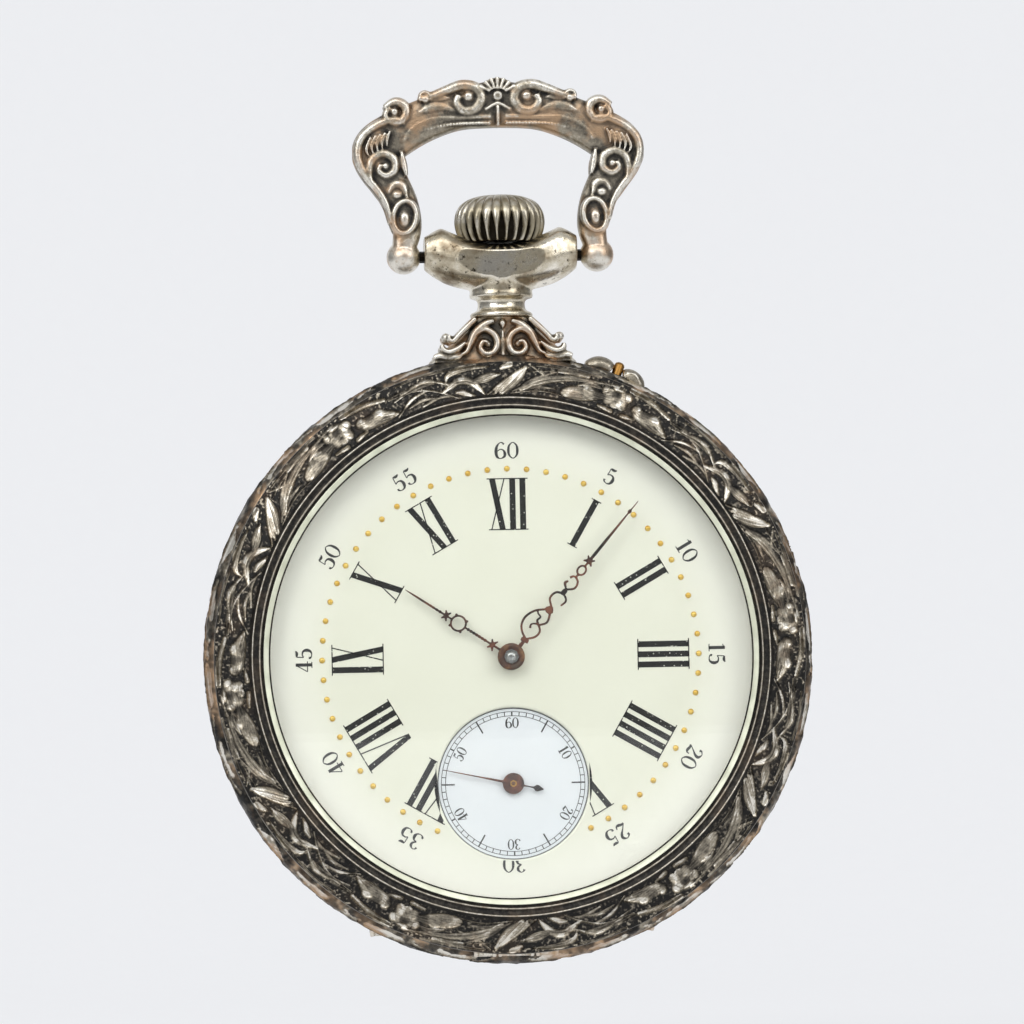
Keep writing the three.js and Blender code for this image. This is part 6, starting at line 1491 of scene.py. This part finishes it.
def makeFoot():
    low, high = boxOf("pendant_base")
    sides = 64
    turns = np.linspace(0, 2 * math.pi, sides, endpoint=False)
    rows = smoothLine(footSections, 4)
    points = []
    for y, wide, deep in rows:
        x, z = wide * squared(np.cos(turns), 0.85), deep * squared(np.sin(turns), 0.6)
        points.append(np.column_stack((x, np.full(sides, y), z)))
    ends = [(0, rows[end][0], 0) for end in (0, -1)]
    parts = [(np.vstack(points + [ends]), loftFaces(len(rows), sides))]
    scroll = []
    front, fat = pendantShape["scrollAt"], pendantShape["scrollFat"]

    def wire(line, depth=0.56):
        scroll.append(smoothBar([(x, y, front, fat * w, depth) for x, y, w in line]))

    # volute beside the middle, hanging from the collar
    wire([(0.75, 28.75, 0.2), (1.5, 28.45, 0.3), (2.3, 27.75, 0.32), (2.75, 26.9, 0.26), (3.1, 26.15, 0.18),
          (3.6, 25.85, 0.12)])
    wire([(2.3, 27.6, 0.14), (1.5, 28.0, 0.24), (0.72, 27.55, 0.26), (0.48, 26.75, 0.27), (0.8, 26.05, 0.27),
          (1.5, 25.92, 0.26), (1.95, 26.4, 0.23), (1.72, 26.95, 0.2), (1.3, 26.9, 0.17)])
    scroll.append(ball((1.28, 26.75, front), (0.28, 0.28, 0.42), 16))
    # strap from the collar to a curled end
    wire([(2.3, 28.95, 0.22), (3.1, 28.2, 0.24), (3.8, 27.5, 0.24), (4.25, 27.05, 0.22), (4.6, 27.2, 0.2),
          (4.55, 27.55, 0.18)])
    scroll.append(ball((4.85, 27.35, front - 0.25), (0.42, 0.42, 0.5), 16))
    wire([(3.2, 26.9, 0.1), (3.9, 26.35, 0.26), (4.6, 26.1, 0.3), (5.15, 26.35, 0.24), (5.2, 26.75, 0.16)])
    wire([(3.6, 25.75, 0.16), (4.6, 25.6, 0.28), (5.4, 25.75, 0.3), (5.9, 25.6, 0.24)], 0.4)
    parts += mirrored(mirrored(scroll, 0), 2)
    for side in (-1, 1):
        parts.append(bar([(0, 28.85, side * front, 0.1, 0.3), (0, 28.55, side * (front + 0.1), 0.34, 0.4),
                          (0, 28.1, side * front, 0.08, 0.3)], 8))
        parts.append(bar([(-5.9, 25.0, side * front, 0.34, 0.36), (5.9, 25.0, side * front, 0.34, 0.36)], 10))
        sunk = side * (front - 0.1)
        parts.append(bar([(0, 27.9, sunk, 0.12, 0.3), (0, 25.6, sunk, 0.2, 0.3)], 8))
    shaped, shapedFaces, normals, edges = cast(parts, pendantShape["footGrain"], 3)
    shaped = np.clip(shaped, low, high)
    relief = standOut(shaped, normals, edges, 20, 0.24, 0.5)
    makePiece("pendantFoot", shaped, shapedFaces, bowSilver, "case", ["pendant_base"], relief)


makeFoot()
print("pendant made")

# Crown: rounded lobes above that narrow to thin ridges with hollows between them below, painted dark as shade
crownShape = {"ridges": 26, "perRidge": 14, "deep": 0.4}
crownProfile = [  # (height share, radius share, flute depth share)
    (0.0, 0.8, 0.9), (0.03, 0.86, 1.0), (0.2, 0.955, 1.0), (0.38, 1.0, 1.0), (0.52, 1.0, 0.9),
    (0.66, 0.965, 0.8), (0.8, 0.87, 0.85), (0.9, 0.72, 0.75), (0.965, 0.52, 0.5), (0.995, 0.3, 0.1),
    (1.0, 0.16, 0.0),
]


def makeCrown():
    low, high = boxOf("crown")
    radius, bottom, tall = high[0], low[1], high[1] - low[1]
    profile = smoothLine(crownProfile, 5)
    rows = crownShape["ridges"] * crownShape["perRidge"]
    turns = np.linspace(0, 2 * math.pi, rows, endpoint=False)
    phase = (turns * crownShape["ridges"] / (2 * math.pi)) % 1.0
    away = np.minimum(phase, 1 - phase)
    points, relief = [], []
    for height, share, deep in profile:
        # each ridge is narrow at the foot and widens until the lobes meet near the top
        half = 0.15 + 0.36 * np.clip((height - 0.15) / 0.45, 0, 1) ** 1.3
        lobe = np.sqrt(np.clip(1 - (away / half) ** 2, 0, 1))
        r = radius * share - crownShape["deep"] * deep * (1 - lobe)
        y = bottom + tall * height
        points.append(np.column_stack((r * np.cos(turns), np.full(rows, y), r * np.sin(turns))))
        # the hollows between the lobes are painted dark as shade; the top rows are made lighter
        relief.append(np.clip(0.05 + lobe ** 1.1 * 0.95 + (height > 0.97) * 0.3, 0, 1))
    points = np.vstack(points + [[(0, bottom, 0), (0, bottom + tall, 0)]])
    relief = np.append(np.concatenate(relief), [0.2, 0.8])
    faces = loftFaces(len(profile), rows)
    makePiece("crownKnob", points, faces, crownSilver, "crown", ["crown"], relief)


makeCrown()
print("crown made")

# Push-pin guard: two leaf-shaped lobes either side of the brass pin, drawn at 12 o'clock and turned
guardShape = {
    "turn": 22.0, "grain": 0.08,
    "rod": [(0, 27.08), (0.2, 27.05), (0.36, 26.95), (0.44, 26.8), (0.44, 24.0), (0.44, 20.2), (0, 20.2)],
}
guardLobes = [  # each point: (right, up, half height, half depth)
    [(-0.6, 26.0, 0.6, 0.9), (-1.05, 26.2, 0.78, 1.08), (-1.75, 26.15, 0.8, 1.08), (-2.4, 25.85, 0.6, 0.9),
     (-2.8, 25.55, 0.3, 0.6)],
    [(0.6, 25.95, 0.6, 0.9), (1.05, 26.1, 0.76, 1.08), (1.65, 25.95, 0.78, 1.08), (2.25, 25.55, 0.62, 0.9),
     (2.65, 25.2, 0.34, 0.6)],
]


def makeGuard():
    low, high = boxOf("push_pin_guard")
    parts = [smoothBar([(x, y, 0, wide, deep) for x, y, wide, deep in lobe], 6, 18) for lobe in guardLobes]
    for side in (-1, 1):
        parts.append(smoothBar([(side * 0.8, 26.35, 0.72, 0.12, 0.3), (side * 1.5, 26.4, 0.8, 0.16, 0.3),
                                (side * 2.2, 25.9, 0.7, 0.1, 0.3)], 5))
    parts.append(bar([(-2.3, 25.3, 0, 0.4, 0.9), (2.3, 25.3, 0, 0.4, 0.9)], 12))
    points, faces, normals, edges = cast(parts, guardShape["grain"], 4)
    points = np.clip(turnBy(points, guardShape["turn"]), low, high)
    relief = standOut(points, normals, edges, 14, 0.2, 0.42)
    makePiece("pinGuard", points, faces, bowSilver, "case", ["push_pin_guard"], relief)
    rod, faces = turnedSolid(guardShape["rod"], 32)
    upright = turnBy(rod[:, [0, 2, 1]], guardShape["turn"])
    makePiece("pinRod", upright, faces, agedBrass, "push_pin", ["push_pin"])


makeGuard()
print("push pin made")

# Hinge knuckles: turned tubes on soldered lugs, three along the bezel's joint and four along the one at the
# back, where the inner cover's knuckle keeps its CAD shape
hingeShape = {
    "front": (-24.82, 2.3, 0.5), "rear": (-22.85, -3.12, 0.64),  # y, z and radius
    "grain": 0.055, "beadWide": 0.26, "waist": 0.9, "chamfer": 0.8,
    # each lug: how far up and out of the axis it lies, half width and half depth
    "lugs": {
        "case": (0.3, 0.45, 0.34, 0.5), "bezel": (0.35, 0.2, 0.3, 0.3), "back_cover": (0.35, 0.62, 0.3, 0.42),
    },
}
knuckles = [  # (name, body, node it replaces, from, to, whether it is on the front joint)
    ("frontKnuckleLeft", "case", "case_band", -3.58, -1.66, True),
    ("frontKnuckleRight", "case", "case_band", 1.66, 3.58, True),
    ("frontKnuckleBezel", "bezel", "bezel", -1.54, 1.54, True),
    ("rearKnuckleLeft", "case", "case_band", -12.18, -8.26, False),
    ("rearKnuckleRight", "case", "case_band", 8.26, 12.18, False),
    ("rearKnuckleLidLeft", "back_cover", "back_cover", -8.18, -4.28, False),
    ("rearKnuckleLidRight", "back_cover", "back_cover", 4.28, 8.18, False),
]


def makeKnuckles():
    size = hingeShape
    for name, body, node, start, end, front in knuckles:
        y, z, radius = size["front"] if front else size["rear"]
        # a thin bead is turned at each end of the tube
        near = [(0, 0), (radius * size["chamfer"], 0), (radius, 0.08), (radius, size["beadWide"]),
                (radius * size["waist"], size["beadWide"] + 0.08)]
        outline = [(r, start + at) for r, at in near] + [(r, end - at) for r, at in reversed(near)]
        tube, faces = turnedSolid(outline, 28)
        lying = np.column_stack((tube[:, 2], tube[:, 0] + y, tube[:, 1] + z))
        up, out, wide, thick = size["lugs"][body]
        lug = bar([(x, y + up, z + out, wide, thick) for x in (start + 0.25, end - 0.25)], 14)
        points, faces, normals, edges = cast([(lying, faces), lug], size["grain"], 2)
        relief = standOut(points, normals, edges, 8, 0.12, 0.6)
        makePiece(name, points, faces, bandSilver, body, [node], relief)


makeKnuckles()
print("knuckles made")

# Pieces of the movement and the pins keep their CAD shape and take their finish here, steel if none is named
# the bow's pivot pins take the darker silver as painted shade in the gap between the bow's balls and the
# saddle
nodeFinishes = {
    "cuvette": dullSilverAndGapShade, "bow_pivot_left": dullSilverAndGapShade, "bow_pivot_right": dullSilverAndGapShade, "balance_jewel": ruby,
}
for gilded in ("mainplate", "barrel_bridge", "train_bridge", "balance_cock", "pallet_bridge", "barrel",
               "centre_wheel", "third_wheel", "fourth_wheel", "minute_wheel", "hour_wheel", "balance_wheel"):
    nodeFinishes[gilded] = gilt


def finishNodes():
    for name, node in frame["nodes"].items():
        for k in range(len(node.material_slots)):
            node.material_slots[k].material = nodeFinishes.get(name, steel)


finishNodes()
print("movement finished")

# Studio: a pale sweep, a large soft lamp on each side and one above, the camera a little low and left.
# Lengths are mm, angles degrees and powers watts. The floor lies low enough for the opened covers to clear it
studio = {
    "floorDrop": 7.4, "sweepNear": -420.0, "sweepFar": 170.0, "sweepWide": 300.0, "sweepTall": 420.0,
    "bend": 120.0, "paper": "#F1F3F5", "paperShade": "#EEF0F3", "backdrop": "#F1F2F5", "fibreSize": 2.0,
    "evenness": 0.8,  # how much of the sheet's colour the eye gets without light or shadow on it
    "distance": 500.0, "azimuth": -3.2, "elevation": -3.2, "roll": 1.2, "lens": 206.0,
    "photoSize": 1024, "scale": 0.0857, "casePixel": (505.5, 657.5), "lampColour": "#FFFFFF",
    "roomStrength": 0.84, "room": ("#848484", "#A0A1A2", "#DDDEDF"),
}
lamps = [  # (name, place, width, height, power)
    ("leftSoftbox", (-340, -380, 190), 320, 360, 0.8),
    ("rightSoftbox", (350, -370, 160), 280, 340, 0.72),
    ("topSoftbox", (-60, -370, 270), 480, 240, 0.72),
]


def makeStudio():
    look = studio
    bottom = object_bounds()[0][2] / mm - look["floorDrop"]
    line = [(look["sweepNear"], bottom)]
    for k in range(13):
        angle = math.pi / 2 * k / 12
        line.append((look["sweepFar"] + look["bend"] * math.sin(angle),
                     bottom + look["bend"] * (1 - math.cos(angle))))
    line.append((look["sweepFar"] + look["bend"], bottom + look["sweepTall"]))
    points, faces = [], []
    for y, z in line:
        points += [(-look["sweepWide"] * mm, y * mm, z * mm), (look["sweepWide"] * mm, y * mm, z * mm)]
    for k in range(len(line) - 1):
        faces.append((2 * k, 2 * k + 1, 2 * k + 3, 2 * k + 2))
    mesh = bpy.data.meshes.new("sweep")
    mesh.from_pydata(points, [], faces)
    mesh.polygons.foreach_set("use_smooth", [True] * len(faces))
    material, tree, surface = newMaterial("paperSweep")
    fibre = addNode(tree, "ShaderNodeTexNoise", {"Scale": 1 / (look["fibreSize"] * mm), "Detail": 2.0},
                    {"Vector": place(tree)})
    tone = setRamp(addNode(tree, "ShaderNodeValToRGB", None, {"Fac": fibre.outputs["Fac"]}), [
        (0.3, linear(look["paper"])), (0.7, linear(look["paperShade"])),
    ])
    tree.links.new(tone.outputs["Color"], surface.inputs["Base Color"])
    surface.inputs["Roughness"].default_value = 0.9
    lightPath = addNode(tree, "ShaderNodeLightPath")
    glow = addNode(tree, "ShaderNodeEmission", {"Color": linear(look["backdrop"]), "Strength": 1.0})
    seen = addNode(tree, "ShaderNodeMath", {"operation": "MAXIMUM"},
                   {0: lightPath.outputs["Is Camera Ray"], 1: lightPath.outputs["Is Glossy Ray"]})
    seen = addNode(tree, "ShaderNodeMath", {"operation": "MAXIMUM"},
                   {0: seen.outputs[0], 1: lightPath.outputs["Is Transmission Ray"]})
    amount = addNode(tree, "ShaderNodeMath", {"operation": "MULTIPLY", 1: look["evenness"]},
                     {0: seen.outputs[0]})
    mixed = mixShaders(tree, amount.outputs[0], surface, glow)
    # seen from its back the sheet is clear, so that it hides nothing in a view from behind
    backfacing = addNode(tree, "ShaderNodeNewGeometry").outputs["Backfacing"]
    behind = addNode(tree, "ShaderNodeMath", {"operation": "MULTIPLY"},
                     {0: backfacing, 1: lightPath.outputs["Is Camera Ray"]})
    sheet = mixShaders(tree, behind.outputs[0], mixed, addNode(tree, "ShaderNodeBsdfTransparent"))
    tree.links.new(sheet.outputs[0], tree.nodes["Material Output"].inputs["Surface"])
    mesh.materials.append(material)
    sweep = bpy.data.objects.new("sweep", mesh)
    bpy.context.scene.collection.objects.link(sweep)


def makeLamps():
    for name, where, wide, tall, power in lamps:
        lamp = bpy.data.lights.new(name, "AREA")
        lamp.shape = "RECTANGLE"
        lamp.size, lamp.size_y = wide * mm, tall * mm
        lamp.energy = power
        lamp.color = linear(studio["lampColour"])[:3]
        holder = bpy.data.objects.new(name, lamp)
        bpy.context.scene.collection.objects.link(holder)
        holder.location = Vector(where) * mm
        aimed = Vector((0.0, 0.0, dialHeight)) * mm - holder.location
        holder.rotation_euler = aimed.to_track_quat("-Z", "Y").to_euler()


def makeRoom():
    world = bpy.data.worlds.new("studioRoom")
    bpy.context.scene.world = world
    world.use_nodes = True
    tree = world.node_tree
    shell = tree.nodes["Background"]
    direction = addNode(tree, "ShaderNodeTexCoord").outputs["Generated"]
    parts = addNode(tree, "ShaderNodeSeparateXYZ", None, {"Vector": direction})
    # the room is pale above, dim at the sides and below, and a shade dimmer behind the camera
    rise = setRamp(addNode(tree, "ShaderNodeValToRGB", None, {"Fac": parts.outputs["Z"]}),
                   [(at, linear(colour)) for at, colour in zip((0.0, 0.3, 0.75), studio["room"])])
    front = addNode(tree, "ShaderNodeMath", {"operation": "MULTIPLY", 1: -1.0}, {0: parts.outputs["Y"]})
    shade = setRamp(addNode(tree, "ShaderNodeValToRGB", None, {"Fac": front.outputs[0]}), [
        (0.8, grey(1.0)), (0.985, grey(0.95)),
    ])
    tree.links.new(multiplied(tree, rise.outputs["Color"], shade.outputs["Color"]), shell.inputs["Color"])
    shell.inputs["Strength"].default_value = studio["roomStrength"]
    # past the sheet's edges the camera sees its colour again
    lightPath = addNode(tree, "ShaderNodeLightPath")
    backdrop = addNode(tree, "ShaderNodeBackground", {"Color": linear(studio["backdrop"]), "Strength": 1.0})
    shown = mixShaders(tree, lightPath.outputs["Is Camera Ray"], shell, backdrop)
    tree.links.new(shown.outputs[0], tree.nodes["World Output"].inputs["Surface"])


def makeCamera():
    look = studio
    half = look["photoSize"] / 2
    aim = Vector(((half - look["casePixel"][0]) * look["scale"], 0.0,
                  dialHeight + (look["casePixel"][1] - half) * look["scale"]))
    azimuth, elevation = math.radians(look["azimuth"]), math.radians(look["elevation"])
    away = Vector((math.sin(azimuth) * math.cos(elevation), -math.cos(azimuth) * math.cos(elevation),
                   math.sin(elevation)))
    data = bpy.data.cameras.new("photoCamera")
    data.sensor_width = 36.0
    data.sensor_fit = "HORIZONTAL"
    data.lens = look["lens"]
    data.clip_start, data.clip_end = 0.01, 20.0
    camera = bpy.data.objects.new("photoCamera", data)
    bpy.context.scene.collection.objects.link(camera)
    camera.location = (aim + away * look["distance"]) * mm
    turn = (-away).to_track_quat("-Z", "Y").to_matrix() @ Matrix.Rotation(math.radians(-look["roll"]), 3, "Z")
    camera.rotation_euler = turn.to_euler()
    bpy.context.scene.camera = camera


makeStudio()
makeLamps()
makeRoom()
makeCamera()
bpy.context.scene.view_settings.view_transform = "Standard"
print("studio made")
